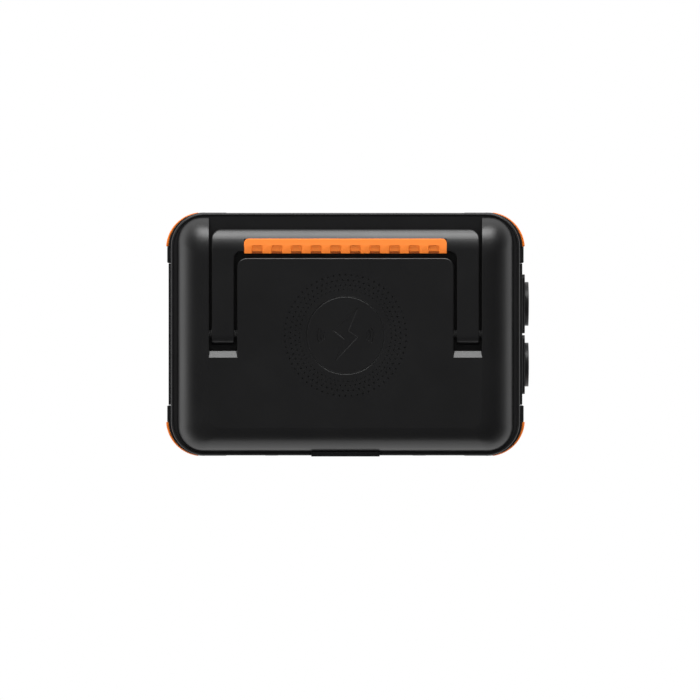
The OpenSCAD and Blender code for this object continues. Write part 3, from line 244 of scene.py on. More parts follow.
# Clear smoked window over the display
def smokedLens(look):
    material, tree, shader = newMaterial("smokedLens")
    grain = addNode(tree, "ShaderNodeGroup", node_tree=grainGroup)
    setInputs(grain, {"Patch": look["patch"]})
    setInputs(shader, look["shader"])
    join(tree, mixColors(tree, grain.outputs["Tone"], *look["tints"]), shader.inputs["Base Color"])
    gloss = calc(tree, "MULTIPLY_ADD", grain.outputs["Gloss"], look["roughSpan"], look["rough"])
    join(tree, gloss, shader.inputs["Roughness"])
    return material


lampLensSettings = {
    "ribs": 180.0, "ribBump": 0.5, "ribHeight": 0.4 * mm, "tints": ((0.82, 0.85, 0.88), (0.93, 0.94, 0.95)),
    "shader": {"Roughness": 0.12, "Transmission Weight": 0.85, "IOR": 1.49},
}


# Clear ribbed cover of the lamp
def lampLens(look):
    material, tree, shader = newMaterial("lampLens")
    coords = tree.nodes.new("ShaderNodeTexCoord")
    ribs = addNode(tree, "ShaderNodeTexWave", Scale=look["ribs"], bands_direction="X")
    join(tree, coords.outputs["Object"], ribs.inputs["Vector"])
    bump = addNode(tree, "ShaderNodeBump", Strength=look["ribBump"], Distance=look["ribHeight"])
    join(tree, ribs.outputs["Fac"], bump.inputs["Height"])
    join(tree, bump.outputs["Normal"], shader.inputs["Normal"])
    join(tree, mixColors(tree, ribs.outputs["Fac"], *look["tints"]), shader.inputs["Base Color"])
    setInputs(shader, look["shader"])
    return material


displaySettings = {
    "place": {"Rotation": (radians(90), 0, 0), "Scale": (120, 120, 120)},
    "cells": {"Color1": (0.05, 0.062, 0.055, 1), "Color2": (0.058, 0.068, 0.06, 1),
              "Mortar": (0.036, 0.042, 0.04, 1), "Mortar Size": 0.015, "Scale": 1.0},
    "rough": 0.3, "roughSpan": 0.2,
}


# Display module behind the window: dull green-grey cells, switched off
def displayCells(look):
    material, tree, shader = newMaterial("displayCells")
    coords = tree.nodes.new("ShaderNodeTexCoord")
    place = tree.nodes.new("ShaderNodeMapping")
    setInputs(place, look["place"])
    join(tree, coords.outputs["Object"], place.inputs["Vector"])
    cells = addNode(tree, "ShaderNodeTexBrick", offset=0.0)
    setInputs(cells, look["cells"])
    join(tree, place.outputs["Vector"], cells.inputs["Vector"])
    join(tree, cells.outputs["Color"], shader.inputs["Base Color"])
    gloss = calc(tree, "MULTIPLY_ADD", cells.outputs["Fac"], look["roughSpan"], look["rough"])
    join(tree, gloss, shader.inputs["Roughness"])
    return material


finishes["lens"] = smokedLens(windowSettings)
finishes["lampLens"] = lampLens(lampLensSettings)
finishes["lcd"] = displayCells(displaySettings)
print("materials made:", len(finishes))

# Limits in degrees: for smooth shading, for joining faces into one flat, and for rounding an edge
softBend = 32.0
flatBend = 0.2
nodeFlatBend = 0.3
edgeBend = 40.0
nodeEdgeBend = 50.0
postHeight = 5 * mm  # upright edges longer than this are corner posts
facing = 0.99  # a face looks a way when its normal goes this far along it


def weld(bm):
    bmesh.ops.remove_doubles(bm, verts=bm.verts[:], dist=sameSpot)


def mergeFlats(bm, limit):
    bmesh.ops.dissolve_limit(bm, angle_limit=radians(limit), verts=bm.verts[:], edges=bm.edges[:])


def faceOutwards(bm):
    bmesh.ops.recalc_face_normals(bm, faces=bm.faces[:])


def toObject(bm, name):
    mesh = bpy.data.meshes.new(name)
    bm.to_mesh(mesh)
    bm.free()
    made = bpy.data.objects.new(name, mesh)
    bpy.context.scene.collection.objects.link(made)
    return made


# Ends a piece: normals, shading, a finish picked by its slot or its own name, its body, and the nodes that
# it stands for hidden
def closePiece(bm, name, body, slot, nodes=(), finish=None, crease=None):
    faceOutwards(bm)
    if bm.calc_volume(signed=True) < 0:
        bmesh.ops.reverse_faces(bm, faces=bm.faces[:])
    for face in bm.faces:
        face.smooth = True
    for edge in bm.edges:
        edge.smooth = len(edge.link_faces) == 2 and edge.calc_face_angle(0) < radians(softBend)
        if crease and crease(edge):
            edge.smooth = False
    piece = toObject(bm, name)
    piece.data.materials.append(finishes[finish or slot])
    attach(piece, body)
    if nodes:
        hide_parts(*nodes)
    piece.modifiers.new("faceShading", "WEIGHTED_NORMAL").keep_sharp = True


def bevelParts(bm, parts, width, segments, affect="EDGES", slide=False):
    bmesh.ops.bevel(bm, geom=parts, offset=width, segments=segments, profile=0.5, affect=affect,
                    clamp_overlap=False, material=-1, loop_slide=slide)


# Rounds the kept edges that bend outwards by more than the least angle
def roundEdges(bm, width, segments, least, keep, slide=True):
    picked = []
    for edge in bm.edges:
        if len(edge.link_faces) != 2 or not edge.is_convex:
            continue
        if edge.calc_face_angle(0) > radians(least) and keep(edge):
            picked.append(edge)
    bevelParts(bm, picked, width, segments, slide=slide)


# A copy of a CAD node's mesh, with its doubles merged
def fromNode(node, joinFlats=True):
    bm = bmesh.new()
    bm.from_mesh(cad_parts[node].data)
    bmesh.ops.remove_doubles(bm, verts=bm.verts[:], dist=2 * sameSpot)
    if joinFlats:
        mergeFlats(bm, nodeFlatBend)
    return bm


def middle(edge):
    return (edge.verts[0].co + edge.verts[1].co) / 2


def rise(edge):
    return abs(edge.verts[0].co.z - edge.verts[1].co.z)


def only(kind, items):
    return [item for item in items if isinstance(item, kind)]


# Cuts the given faces, or all, along planes across an axis
def cutAcross(bm, axis, places, faces=None):
    normal = Vector((0, 0, 0))
    normal[axis] = 1
    for place in places:
        faces = [face for face in faces if face.is_valid] if faces else bm.faces[:]
        edges = list(dict.fromkeys(edge for face in faces for edge in face.edges))
        verts = list(dict.fromkeys(vert for face in faces for vert in face.verts))
        cut = bmesh.ops.bisect_plane(bm, geom=verts + edges + faces, dist=sameSpot, plane_co=normal * place,
                                     plane_no=normal)
        faces = list(dict.fromkeys(faces + only(bmesh.types.BMFace, cut["geom"])))


# Pulls a region down to a level, with walls round it
def sink(bm, faces, move):
    sunk = bmesh.ops.extrude_face_region(bm, geom=faces)["geom"]
    for vert in only(bmesh.types.BMVert, sunk):
        move(vert)
    left = [face for face in faces if face.is_valid]
    if left:
        bmesh.ops.delete(bm, geom=left, context="FACES")


def facesAt(bm, z):
    return [face for face in bm.faces if all(abs(vert.co.z - z) < sameSpot for vert in face.verts)]


def facesSince(bm, before):
    return [face for face in bm.faces if face not in before]


def widest(faces):
    return max(faces, key=lambda face: face.calc_area())


# One shallow mark with sloping walls; its rim stays level with the face round it
def engrave(bm, faces, slope, depth, outwards):
    bmesh.ops.recalc_face_normals(bm, faces=faces)
    for face in faces:
        if face.normal.dot(outwards) < 0:
            face.normal_flip()
    bmesh.ops.inset_region(bm, faces=faces, thickness=slope, depth=-depth, use_boundary=True,
                           use_even_offset=True)


# A mark along an arc: a short line turned round its hub
def engraveArc(bm, hub, ends, axis, angle, steps, slope, depth, outwards):
    before = set(bm.faces[:])
    tips = [bm.verts.new(hub + end) for end in ends]
    bmesh.ops.spin(bm, geom=[bm.edges.new(tips)] + tips, cent=hub, axis=axis, angle=radians(angle),
                   steps=steps)
    engrave(bm, facesSince(bm, before), slope, depth, outwards)


# Opens a face, so that marks can be made where it was
def openFace(bm, face):
    rim = face.edges[:]
    old = set(bm.edges[:])
    bmesh.ops.delete(bm, geom=[face], context="FACES_ONLY")
    return rim, old


# Fills an opened face again, round the new marks
def fillRound(bm, rim, old, outwards):
    outlines = [edge for edge in bm.edges if edge not in old and len(edge.link_faces) == 1]
    bmesh.ops.triangle_fill(bm, use_beauty=True, use_dissolve=False, edges=rim + outlines, normal=outwards)


coverSettings = {
    "halfX": 109.3 * mm, "halfY": 76.25 * mm, "corner": 17.2 * mm, "cornerSteps": 14,
    "top": 168 * mm, "skirt": 151 * mm, "wall": 1.8 * mm, "edge": 0.3 * mm,
    "flange": (111.6 * mm, 77.0 * mm, 20.1 * mm), "flangeTop": 153.3 * mm, "flangeFall": 0.02 * mm,
    # the flat middle, and the shoulders that fall away from it; growth packs their rings towards the top
    "flatX": 88.8 * mm, "flatFront": 60.85 * mm, "flatRear": 54.95 * mm, "flatCorner": 7.5 * mm,
    "drop": 14 * mm, "crease": 5.0, "steps": 16, "growth": 1.7,
    # the recess round the pad for the handle, with a ramp at each front end
    "floor": 154.3 * mm, "channelIn": 70.3 * mm, "rampTop": -15.2 * mm, "rampFoot": -10.8 * mm,
    "rampLow": 165.1 * mm, "rampNarrow": 0.8 * mm, "rampWall": 0.05 * mm,
    "plateauY": 49.5 * mm, "plateauCorner": 6 * mm, "plateauSteps": 10, "plateauEdge": 0.6 * mm,
    # which edges are the pad's, which are the recess's mouth, and which normals are level
    "padSide": 0.2 * mm, "padFront": 2 * mm, "padLow": 160 * mm,
    "mouthLow": 0.3 * mm, "mouthTilt": (-0.3, 0.4), "level": 0.99995,
}

# Engraved marks of the charging place, in mm from its centre; dots are radius, count, shift and size
markSettings = {
    "centre": Vector((0, -0.8 * mm, 168 * mm)), "slope": 0.3 * mm, "depth": 0.26 * mm, "sides": 96,
    "ring": (24.7, 25.65),
    "bolt": [(8.4, 18.3), (-8.1, 3.1), (-0.9, -2.5), (-6.8, -17.1), (8.1, -1.2), (2.2, 3.1)],
    "waves": (4.1, 6.1, 8.1), "waveHub": 10.2, "waveHalf": 0.42, "waveSpread": 36.0, "waveSteps": 8,
    "waveSlope": 0.24 * mm,
    "dots": [(39.4, 64, 0.0, 0.58), (35.9, 64, 0.5, 0.56), (32.7, 64, 0.0, 0.47), (29.9, 64, 0.5, 0.38)],
    "dotSides": 8, "dotSlope": 0.12 * mm, "dotDepth": 0.7 * mm,
}


# How far out the shoulder has run where it has fallen this far
def shoulderRun(width, fall, cover):
    crease = radians(cover["crease"])
    arc = width / (sin(2 * atan(cover["drop"] / width) - crease) - sin(crease))
    slope = acos(max(-1.0, min(1.0, cos(crease) - fall / arc)))
    return arc * (sin(slope) - sin(crease))


# A rounded rectangle; one corner point a side sits where the recess will be cut
def roundedRing(bm, halfX, front, rear, corner, z, cover):
    corners = [bm.verts.new((x, y, z)) for x, y in
               ((-halfX, front), (halfX, front), (halfX, rear), (-halfX, rear))]
    bm.faces.new(corners)
    bevelParts(bm, corners, corner, cover["cornerSteps"], "VERTICES")
    face = facesAt(bm, z)[0]
    cut = cover["flatX"]
    run = max(0.0, cut - (halfX - corner))
    for side in (-1, 1):
        rearArc = [vert for vert in face.verts
                   if vert.co.y > rear - corner - sameSpot and vert.co.x * side > 0]
        near = min(rearArc, key=lambda vert: abs(vert.co.x * side - cut))
        near.co = (side * cut, rear - corner + sqrt(corner ** 2 - run ** 2), z)
    return face


def makeCoverShape(bm, cover):
    faces = []
    halfX, halfY, flatX, corner = [cover[key] for key in ("halfX", "halfY", "flatX", "corner")]
    widths = (halfX - flatX, halfY - cover["flatFront"], halfY - cover["flatRear"])
    for step in range(cover["steps"] + 1):
        fall = cover["drop"] * (step / cover["steps"]) ** cover["growth"]
        side, front, rear = [shoulderRun(width, fall, cover) for width in widths]
        radius = cover["flatCorner"] + (corner - cover["flatCorner"]) * side / widths[0]
        faces.append(roundedRing(bm, flatX + side, -cover["flatFront"] - front, cover["flatRear"] + rear,
                                 radius, cover["top"] - fall, cover))
    low = cover["flangeTop"]
    faces.append(roundedRing(bm, halfX, -halfY, halfY, corner, low, cover))
    halfX, halfY, corner = cover["flange"]
    faces.append(roundedRing(bm, halfX, -halfY, halfY, corner, low - cover["flangeFall"], cover))
    rings = [face.edges[:] for face in faces]
    bmesh.ops.delete(bm, geom=faces[1:], context="FACES_ONLY")
    for one, two in zip(rings, rings[1:]):
        bmesh.ops.bridge_loops(bm, edges=one + two)
    skirt = bmesh.ops.extrude_edge_only(bm, edges=rings[-1])["geom"]
    for vert in only(bmesh.types.BMVert, skirt):
        vert.co.z = cover["skirt"]


def cutRecess(bm, cover):
    flatX, channelIn, plateauY = cover["flatX"], cover["channelIn"], cover["plateauY"]
    rampTop, rampFoot = cover["rampTop"], cover["rampFoot"]
    cutAcross(bm, 0, (-flatX, flatX))
    cutAcross(bm, 0, (-channelIn, channelIn), facesAt(bm, cover["top"]))
    cutAcross(bm, 1, (rampTop, rampFoot, rampFoot + cover["rampWall"], plateauY), facesAt(bm, cover["top"]))
    recess = []
    for face in bm.faces:
        at = face.calc_center_median()
        aboveFlange = at.z > cover["top"] - cover["drop"] + sameLevel
        onPad = abs(at.x) < channelIn and at.y < plateauY
        if aboveFlange and abs(at.x) < flatX and at.y > rampTop and not onPad:
            recess.append(face)

    def lower(vert):
        if vert.co.y > rampFoot + sameLevel:
            vert.co.z = cover["floor"]
        elif vert.co.y > rampTop + sameLevel:
            vert.co.z = cover["rampLow"]
            inward = -1 if abs(vert.co.x) > (flatX + channelIn) / 2 else 1
            vert.co.x += inward * cover["rampNarrow"] * (1 if vert.co.x > 0 else -1)

    def atPadCorner(vert):
        return abs(abs(vert.co.x) - channelIn) < sameLevel and abs(vert.co.y - plateauY) < sameLevel

    sink(bm, recess, lower)
    weld(bm)
    posts = [edge for edge in bm.edges if rise(edge) > postHeight and all(map(atPadCorner, edge.verts))]
    bevelParts(bm, posts, cover["plateauCorner"], cover["plateauSteps"])
    mergeFlats(bm, flatBend)
    faceOutwards(bm)


def addMarks(bm, marks, top):
    up = Vector((0, 0, 1))
    slope, depth = marks["slope"], marks["depth"]
    face = widest([face for face in bm.faces
                   if face.normal.z > facing and face.calc_center_median().z > top - mm])
    for vert in face.verts:
        vert.co.z = top
    rim, old = openFace(bm, face)
    place = Matrix.Translation(marks["centre"])
    before = set(bm.faces[:])
    ring = []
    for radius in marks["ring"]:
        circle = bmesh.ops.create_circle(bm, segments=marks["sides"], radius=radius * mm, matrix=place)
        ring += dict.fromkeys(edge for vert in circle["verts"] for edge in vert.link_edges)
    bmesh.ops.bridge_loops(bm, edges=ring)
    engrave(bm, facesSince(bm, before), slope, depth, up)
    corners = [bm.verts.new(marks["centre"] + Vector((x, y, 0)) * mm) for x, y in marks["bolt"]]
    engrave(bm, [bm.faces.new(corners)], slope, depth, up)
    for side in (0, 180):
        turn = Matrix.Rotation(radians(side), 3, "Z")
        hub = marks["centre"] + turn @ Vector((marks["waveHub"] * mm, 0, 0))
        start = Matrix.Rotation(radians(side - marks["waveSpread"]), 3, "Z")
        for radius in marks["waves"]:
            reaches = (radius - marks["waveHalf"], radius + marks["waveHalf"])
            ends = [start @ Vector((reach * mm, 0, 0)) for reach in reaches]
            engraveArc(bm, hub, ends, up, 2 * marks["waveSpread"], marks["waveSteps"], marks["waveSlope"],
                       depth, up)
    for radius, count, shift, size in marks["dots"]:
        for number in range(count):
            turn = Matrix.Rotation(2 * pi * (number + shift) / count, 4, "Z")
            spot = place @ turn @ Matrix.Translation((radius * mm, 0, 0))
            before = set(bm.faces[:])
            bmesh.ops.create_circle(bm, segments=marks["dotSides"], radius=size * mm, matrix=spot,
                                    cap_ends=True)
            engrave(bm, facesSince(bm, before), marks["dotSlope"], marks["dotDepth"], up)
    fillRound(bm, rim, old, up)


def makeTopCover(cover, marks):
    bm = bmesh.new()
    makeCoverShape(bm, cover)
    cutRecess(bm, cover)
    bmesh.ops.solidify(bm, geom=bm.faces[:], thickness=cover["wall"])
    faceOutwards(bm)
    inwards, upwards = cover["mouthTilt"]

    def atPad(edge):
        at = middle(edge)
        beside = abs(at.x) < cover["channelIn"] + cover["padSide"]
        return beside and at.y > cover["padFront"] and at.z > cover["padLow"]

    def atMouth(edge):
        up = [face.normal.z for face in edge.link_faces]
        aboveFloor = middle(edge).z > cover["floor"] + cover["mouthLow"]
        return aboveFloor and max(up) > upwards and min(up) > inwards

    def besideFlat(edge):
        level = [face.normal.z > cover["level"] for face in edge.link_faces]
        return any(level) and not all(level)

    roundEdges(bm, cover["edge"], 3, edgeBend, lambda edge: atMouth(edge) and not atPad(edge))
    roundEdges(bm, cover["plateauEdge"], 3, edgeBend, lambda edge: atMouth(edge) and atPad(edge))
    addMarks(bm, marks, cover["top"])
    closePiece(bm, "topCover", "pack", "black_plastic", ["top_cover"], "coverBlack", besideFlat)


makeTopCover(coverSettings, markSettings)
print("top cover made")

handleSettings = {
    "halfX": 86.9 * mm, "armIn": 72.4 * mm, "reach": 68 * mm, "barIn": 54 * mm, "low": 155.1 * mm,
    "high": 167.9 * mm, "outer": 6.2 * mm, "outerSteps": 10, "inner": 5 * mm, "innerSteps": 8,
    "edge": 0.75 * mm, "clear": 0.1 * mm,
    "tip": -6.8 * mm, "tipFullness": 2.6, "tipSteps": 16, "tipFlat": 0.02 * mm,
    "backRadius": 23.5 * mm, "rows": 14,  # the bar's back falls along this radius, in rows
}
gripSettings = {
    "halfX": 65.9 * mm, "front": 52.4 * mm, "rear": 62.1 * mm, "low": 155.1 * mm, "high": 168 * mm,
    "corner": 3 * mm, "cornerSteps": 8, "edge": 0.8 * mm, "frontFall": 1.7 * mm, "foot": 3 * mm,
    "notches": 10, "pitch": 12.75 * mm, "notchWidth": 6.8 * mm, "notchLength": 5.5 * mm, "taper": 0.93,
    "rearDepth": 1.15 * mm, "frontDepth": 0.5 * mm, "inset": 1.35 * mm, "lean": 0.45 * mm,
    "notchCorner": 1.5 * mm, "notchEdge": 0.28 * mm, "least": 0.4 * mm, "behind": 0.6 * mm,
    "posts": (0.6, 1.2),  # lengths of the notches' rear corner edges, as shares of the depth there
    # the handle's bar inside the grip
    "coreFront": 55.4 * mm, "coreLow": 158.1 * mm, "coreHigh": 165 * mm,
}


# Rounds the arms' front ends; a fullness above 2 swells them past a circle
def roundTips(bm, handle):
    low, high, tip = handle["low"], handle["high"], handle["tip"]
    ends = [edge for edge in bm.edges if all(abs(vert.co.y - tip) < sameLevel for vert in edge.verts)
            and rise(edge) < sameSpot]
    bevelParts(bm, ends, (high - low) / 2 - handle["tipFlat"], handle["tipSteps"])
    pivotZ = (high + low) / 2
    full = handle["tipFullness"]
    for vert in bm.verts:
        if vert.co.y < -sameLevel and vert.co.z > pivotZ:
            share = min(1.0, vert.co.y / tip)
            vert.co.z = pivotZ + (high - pivotZ) * (1 - share ** full) ** (1 / full)


def makeHandle(handle, grip):
    bm = bmesh.new()
    halfX, armIn, reach, barIn, tip = [handle[key] for key in ("halfX", "armIn", "reach", "barIn", "tip")]
    outline = [(halfX, tip), (halfX, reach), (-halfX, reach), (-halfX, tip),
               (-armIn, tip), (-armIn, barIn), (armIn, barIn), (armIn, tip)]
    corners = [bm.verts.new((x, y, handle["low"])) for x, y in outline]
    bm.faces.new(corners)
    bevelParts(bm, [corners[1], corners[2]], handle["outer"], handle["outerSteps"], "VERTICES")
    bevelParts(bm, [corners[5], corners[6]], handle["inner"], handle["innerSteps"], "VERTICES")
    top = bmesh.ops.extrude_face_region(bm, geom=bm.faces[:])["geom"]
    for vert in only(bmesh.types.BMVert, top):
        vert.co.z = handle["high"]
    roundTips(bm, handle)
    rows = [barIn + (reach - barIn) * row / handle["rows"] for row in range(1, handle["rows"])]
    cutAcross(bm, 1, rows + [grip["rear"]])
    cutAcross(bm, 0, [-grip["halfX"], grip["halfX"]])
    for vert in bm.verts:
        run = vert.co.y - barIn
        if vert.co.z > handle["high"] - sameLevel and run > 0:
            vert.co.z -= handle["backRadius"] - sqrt(handle["backRadius"] ** 2 - run ** 2)
    pocket = []
    for face in bm.faces:
        at = face.calc_center_median()
        if abs(at.x) < grip["halfX"] and at.y < grip["rear"]:
            pocket.append(face)

    def toCore(vert):
        vert.co.y = max(vert.co.y, grip["coreFront"])
        vert.co.z = min(max(vert.co.z, grip["coreLow"]), grip["coreHigh"])

    def outside(edge):
        at = middle(edge)
        return abs(at.x) > grip["halfX"] + handle["clear"] or at.y > grip["rear"] + handle["clear"]

    sink(bm, pocket, toCore)
    weld(bm)
    mergeFlats(bm, flatBend)
    faceOutwards(bm)
    roundEdges(bm, handle["edge"], 3, edgeBend, outside)
    closePiece(bm, "carryHandle", "handle_assembly", "black_plastic", ["handle"], "coverBlack")


def makeGrip(grip):
    bm = bmesh.new()
    front, rear, low, high = [grip[key] for key in ("front", "rear", "low", "high")]
    size = (2 * grip["halfX"], rear - front, high - low)
    centre = Vector((0, (rear + front) / 2, (high + low) / 2))
    bmesh.ops.create_cube(bm, size=1, matrix=Matrix.Translation(centre) @ Matrix.Diagonal((*size, 1)))
    posts = [edge for edge in bm.edges if rise(edge) > postHeight and edge.verts[0].co.y > centre.y]
    bevelParts(bm, posts, grip["corner"], grip["cornerSteps"])
    middles = [(number - (grip["notches"] - 1) / 2) * grip["pitch"] for number in range(grip["notches"])]
    half = grip["notchWidth"] / 2
    notchRear = front + grip["notchLength"]
    footTop = low + grip["foot"]
    slopeLow = high - grip["frontFall"]
    cutAcross(bm, 0, [x + side for x in middles for side in (-half, half)])
    cutAcross(bm, 1, [notchRear])
    cutAcross(bm, 2, [footTop])
    for vert in bm.verts:  # the top falls towards the front
        if vert.co.z > high - sameLevel and vert.co.y < front + sameLevel:
            vert.co.z -= grip["frontFall"]
    notched = []
    for face in bm.faces:
        at = face.calc_center_median()
        onTop = at.z > slopeLow and front + mm < at.y < notchRear
        inFront = at.y < front + sameLevel and at.z > footTop
        if (onTop or inFront) and any(abs(at.x - x) < half for x in middles):
            notched.append(face)

    def press(vert):
        near = min(middles, key=lambda x: abs(x - vert.co.x))
        atFront = vert.co.y < front + sameLevel
        if vert.co.z > slopeLow - sameLevel:
            vert.co.z -= grip["frontDepth"] if atFront else grip["rearDepth"]
            vert.co.x = near + (vert.co.x - near) * grip["taper"]
        vert.co.y += grip["inset"] if atFront else -grip["lean"]

    def notchPost(edge):
        shortest, longest = grip["posts"]
        upright = shortest < rise(edge) / grip["rearDepth"] < longest
        return upright and abs(middle(edge).y - front - grip["notchLength"]) < grip["least"]

    def behindNotches(edge):
        return middle(edge).y > notchRear + grip["behind"]

    def besideNotches(edge):
        return middle(edge).y < notchRear + grip["behind"] and edge.calc_length() > grip["least"]

    sink(bm, notched, press)
    weld(bm)
    mergeFlats(bm, flatBend)
    faceOutwards(bm)
    bevelParts(bm, [edge for edge in bm.edges if notchPost(edge)], grip["notchCorner"], 4)
    faceOutwards(bm)
    roundEdges(bm, grip["edge"], 4, edgeBend, behindNotches)
    roundEdges(bm, grip["notchEdge"], 2, edgeBend, besideNotches)
    closePiece(bm, "grip", "handle_assembly", "orange_rubber", ["handle_grip"])


makeHandle(handleSettings, gripSettings)
makeGrip(gripSettings)
print("handle and grip made")

# Places along the axis and radii are in mm; steps round a corner, along and inwards
capSettings = {
    "centreZ": 104 * mm, "offset": 19.8 * mm, "turns": 72,
    "plug": (116.15, 10.9), "plugSteps": ((0, 0.5), (0.15, 0.1), (0.4, 0)),
    "back": 117.05, "radius": 14.3, "backSteps": ((0, 0.25), (0.25, 0)),
    "shoulder": 119.12, "shoulderSteps": ((0, 0), (0.2, 0.08), (0.29, 0.28)),
    "face": 119.8, "crown": 0.4, "groove": (9.2, 9.9, 0.3), "grooveSlope": 0.3,
    "outerRings": (13.4, 12), "innerRings": (7, 4.5, 2, 0),
    "hinge": (118.4 * mm, 87.4 * mm), "barrel": 1.35 * mm, "barrelSides": 28,
    "lugHalf": 3.6 * mm, "lugFace": 119.25 * mm, "lugHeight": 5 * mm, "lugEdge": 0.3 * mm,
}


def makeCap(cap, name, side, body, node):
    bm = bmesh.new()

    def crowned(radii, deep=0.0):
        return [(cap["face"] - cap["crown"] * (r / cap["radius"]) ** 2 - deep, r) for r in radii]

    plugX, plugR = cap["plug"]
    back, shoulder, edge = cap["back"], cap["shoulder"], cap["radius"]
    low, high, deep = cap["groove"]
    outline = [(plugX, 0)]
    outline += [(plugX + along, plugR - inward) for along, inward in cap["plugSteps"]]
    outline += [(back, plugR)]
    outline += [(back + along, edge - inward) for along, inward in cap["backSteps"]]
    outline += [(shoulder + along, edge - inward) for along, inward in cap["shoulderSteps"]]
    outline += crowned((*cap["outerRings"], high + cap["grooveSlope"]))
    outline += crowned((high, low), deep)
    outline += crowned((low - cap["grooveSlope"], *cap["innerRings"]))
    centre = Vector((0, side * cap["offset"], cap["centreZ"]))
    verts = [bm.verts.new(centre + Vector((x, 0, r)) * mm) for x, r in outline]
    edges = [bm.edges.new(pair) for pair in zip(verts, verts[1:])]
    bmesh.ops.spin(bm, geom=verts + edges, cent=centre, axis=(1, 0, 0), angle=2 * pi, steps=cap["turns"],
                   use_merge=True)
    weld(bm)
    hingeX, hingeZ = cap["hinge"]
    before = set(bm.verts[:])
    low, high = hingeX - cap["barrel"], cap["lugFace"]
    size = (high - low, 2 * cap["lugHalf"], cap["lugHeight"])
    place = Matrix.Translation(((low + high) / 2, centre.y, hingeZ + cap["lugHeight"] / 2))
    bmesh.ops.create_cube(bm, size=1, matrix=place @ Matrix.Diagonal((*size, 1)))
    lug = [edge for edge in bm.edges if not set(edge.verts) & before]
    bevelParts(bm, lug, cap["lugEdge"], 2)
    turn = Matrix.Translation((hingeX, centre.y, hingeZ)) @ Matrix.Rotation(radians(90), 4, "X")
    bmesh.ops.create_cone(bm, segments=cap["barrelSides"], radius1=cap["barrel"], radius2=cap["barrel"],
                          depth=2 * cap["lugHalf"], cap_ends=True, matrix=turn)
    closePiece(bm, name, body, "socket_plastic", [node])


makeCap(capSettings, "capFront", -1, "cap_front", "socket_cap_front")
makeCap(capSettings, "capRear", 1, "cap_rear", "socket_cap_rear")
print("caps made")

# Nodes whose form is right: a merged copy with rounded edges
# Each has its piece, body, slot and rounding in mm; flats are joined before that, or after it
dressed = {
    "main_case": ("caseShell", "pack", "black_plastic", 0, "before"),
    "base_cover": ("baseShell", "pack", "black_plastic", 0.42, "after"),
    "left_side_panel": ("leftPanel", "pack", "panel_plastic", 0.4, "after"),
    "right_side_panel": ("rightPanel", "pack", "panel_plastic", 0.4, "after"),
    "corner_guards": ("cornerGuards", "pack", "black_plastic", 0.4, "after"),
    "corner_bumpers": ("cornerBumpers", "pack", "orange_rubber", 0.56, "after"),
    "front_panel": ("frontPanel", "pack", "panel_plastic", 0.3, "after"),
    "display_bezel": ("displayBezel", "pack", "gloss_black", 0.3, "before"),
    "power_button": ("powerButton", "power_key", "button_plastic", 0.4, "before"),
    "usb_button": ("usbButton", "usb_key", "button_plastic", 0.3, "before"),
    "dc_button": ("dcButton", "dc_key", "button_plastic", 0.3, "before"),
    "lamp_button": ("lampButton", "lamp_key", "button_plastic", 0.3, "before"),
    "jump_port_cover": ("jumpFlap", "jump_flap", "black_rubber", 0.4, "before"),
    "input_port_cover": ("inputFlap", "input_flap", "black_rubber", 0.4, "before"),
    "socket_bezel_front": ("bezelFront", "pack", "socket_plastic", 0.35, "after"),
    "socket_bezel_rear": ("bezelRear", "pack", "socket_plastic", 0.35, "after"),
    "feet": ("rubberFeet", "pack", "black_rubber", 0.8, "before"),
}

cornerCentre = (91.5 * mm, 56.9 * mm)  # of the case's rounded corners, from its middle
bumperSettings = {"above": 145.9 * mm, "inside": 22.4 * mm, "fall": 2.4 * mm}
rimSettings = {"above": 153.9 * mm, "outside": 21 * mm, "outerEdge": 1.15 * mm, "innerEdge": 0.35 * mm}


# How far a point lies beyond the corner centres
def pastCentre(at):
    return Vector([max(0.0, abs(value) - centre) for value, centre in zip(at.xy, cornerCentre)]).length


# The bumpers' tops fall away towards the case
def slopeBumpers(bm, bumper):
    for vert in bm.verts:
        if vert.co.z > bumper["above"] and pastCentre(vert.co) < bumper["inside"]:
            vert.co.z -= bumper["fall"]


# The rim's outer edge is rounder than its inner one
def roundRim(bm, rim):
    def onRim(edge, outer):
        at = middle(edge)
        return at.z > rim["above"] and (pastCentre(at) > rim["outside"]) == outer

    roundEdges(bm, rim["outerEdge"], 4, nodeEdgeBend, lambda edge: onRim(edge, True))
    roundEdges(bm, rim["innerEdge"], 2, nodeEdgeBend, lambda edge: onRim(edge, False))


shapedFirst = {"corner_bumpers": (slopeBumpers, bumperSettings), "main_case": (roundRim, rimSettings)}

# The usual open ring and bar of an on-off button, cut into its face
powerMark = {
    "inner": 2.3 * mm, "outer": 2.85 * mm, "gap": 36.0, "steps": 32,
    "barHalf": 0.28 * mm, "bar": (0.7 * mm, 3.5 * mm), "slope": 0.1 * mm, "depth": 0.25 * mm,
}
marked = {"power_button": 1.0, "usb_button": 0.6, "dc_button": 0.6, "lamp_button": 0.6}  # sizes of the mark


def cutPowerMark(bm, size, mark):
    front = Vector((0, -1, 0))
    face = widest([face for face in bm.faces if face.normal.dot(front) > facing])
    centre = face.calc_center_median()
    rim, old = openFace(bm, face)
    slope, depth = mark["slope"] * size, mark["depth"] * size
    start = Matrix.Rotation(radians(mark["gap"]), 3, "Y")
    ends = [start @ Vector((0, 0, reach * size)) for reach in (mark["inner"], mark["outer"])]
    engraveArc(bm, centre, ends, (0, 1, 0), 360 - 2 * mark["gap"], mark["steps"], slope, depth, front)
    low, high = mark["bar"]
    half = mark["barHalf"]
    corners = [bm.verts.new(centre + Vector((x, 0, z)) * size) for x, z in
               ((-half, low), (half, low), (half, high), (-half, high))]
    engrave(bm, [bm.faces.new(corners)], slope, depth, front)
    fillRound(bm, rim, old, front)


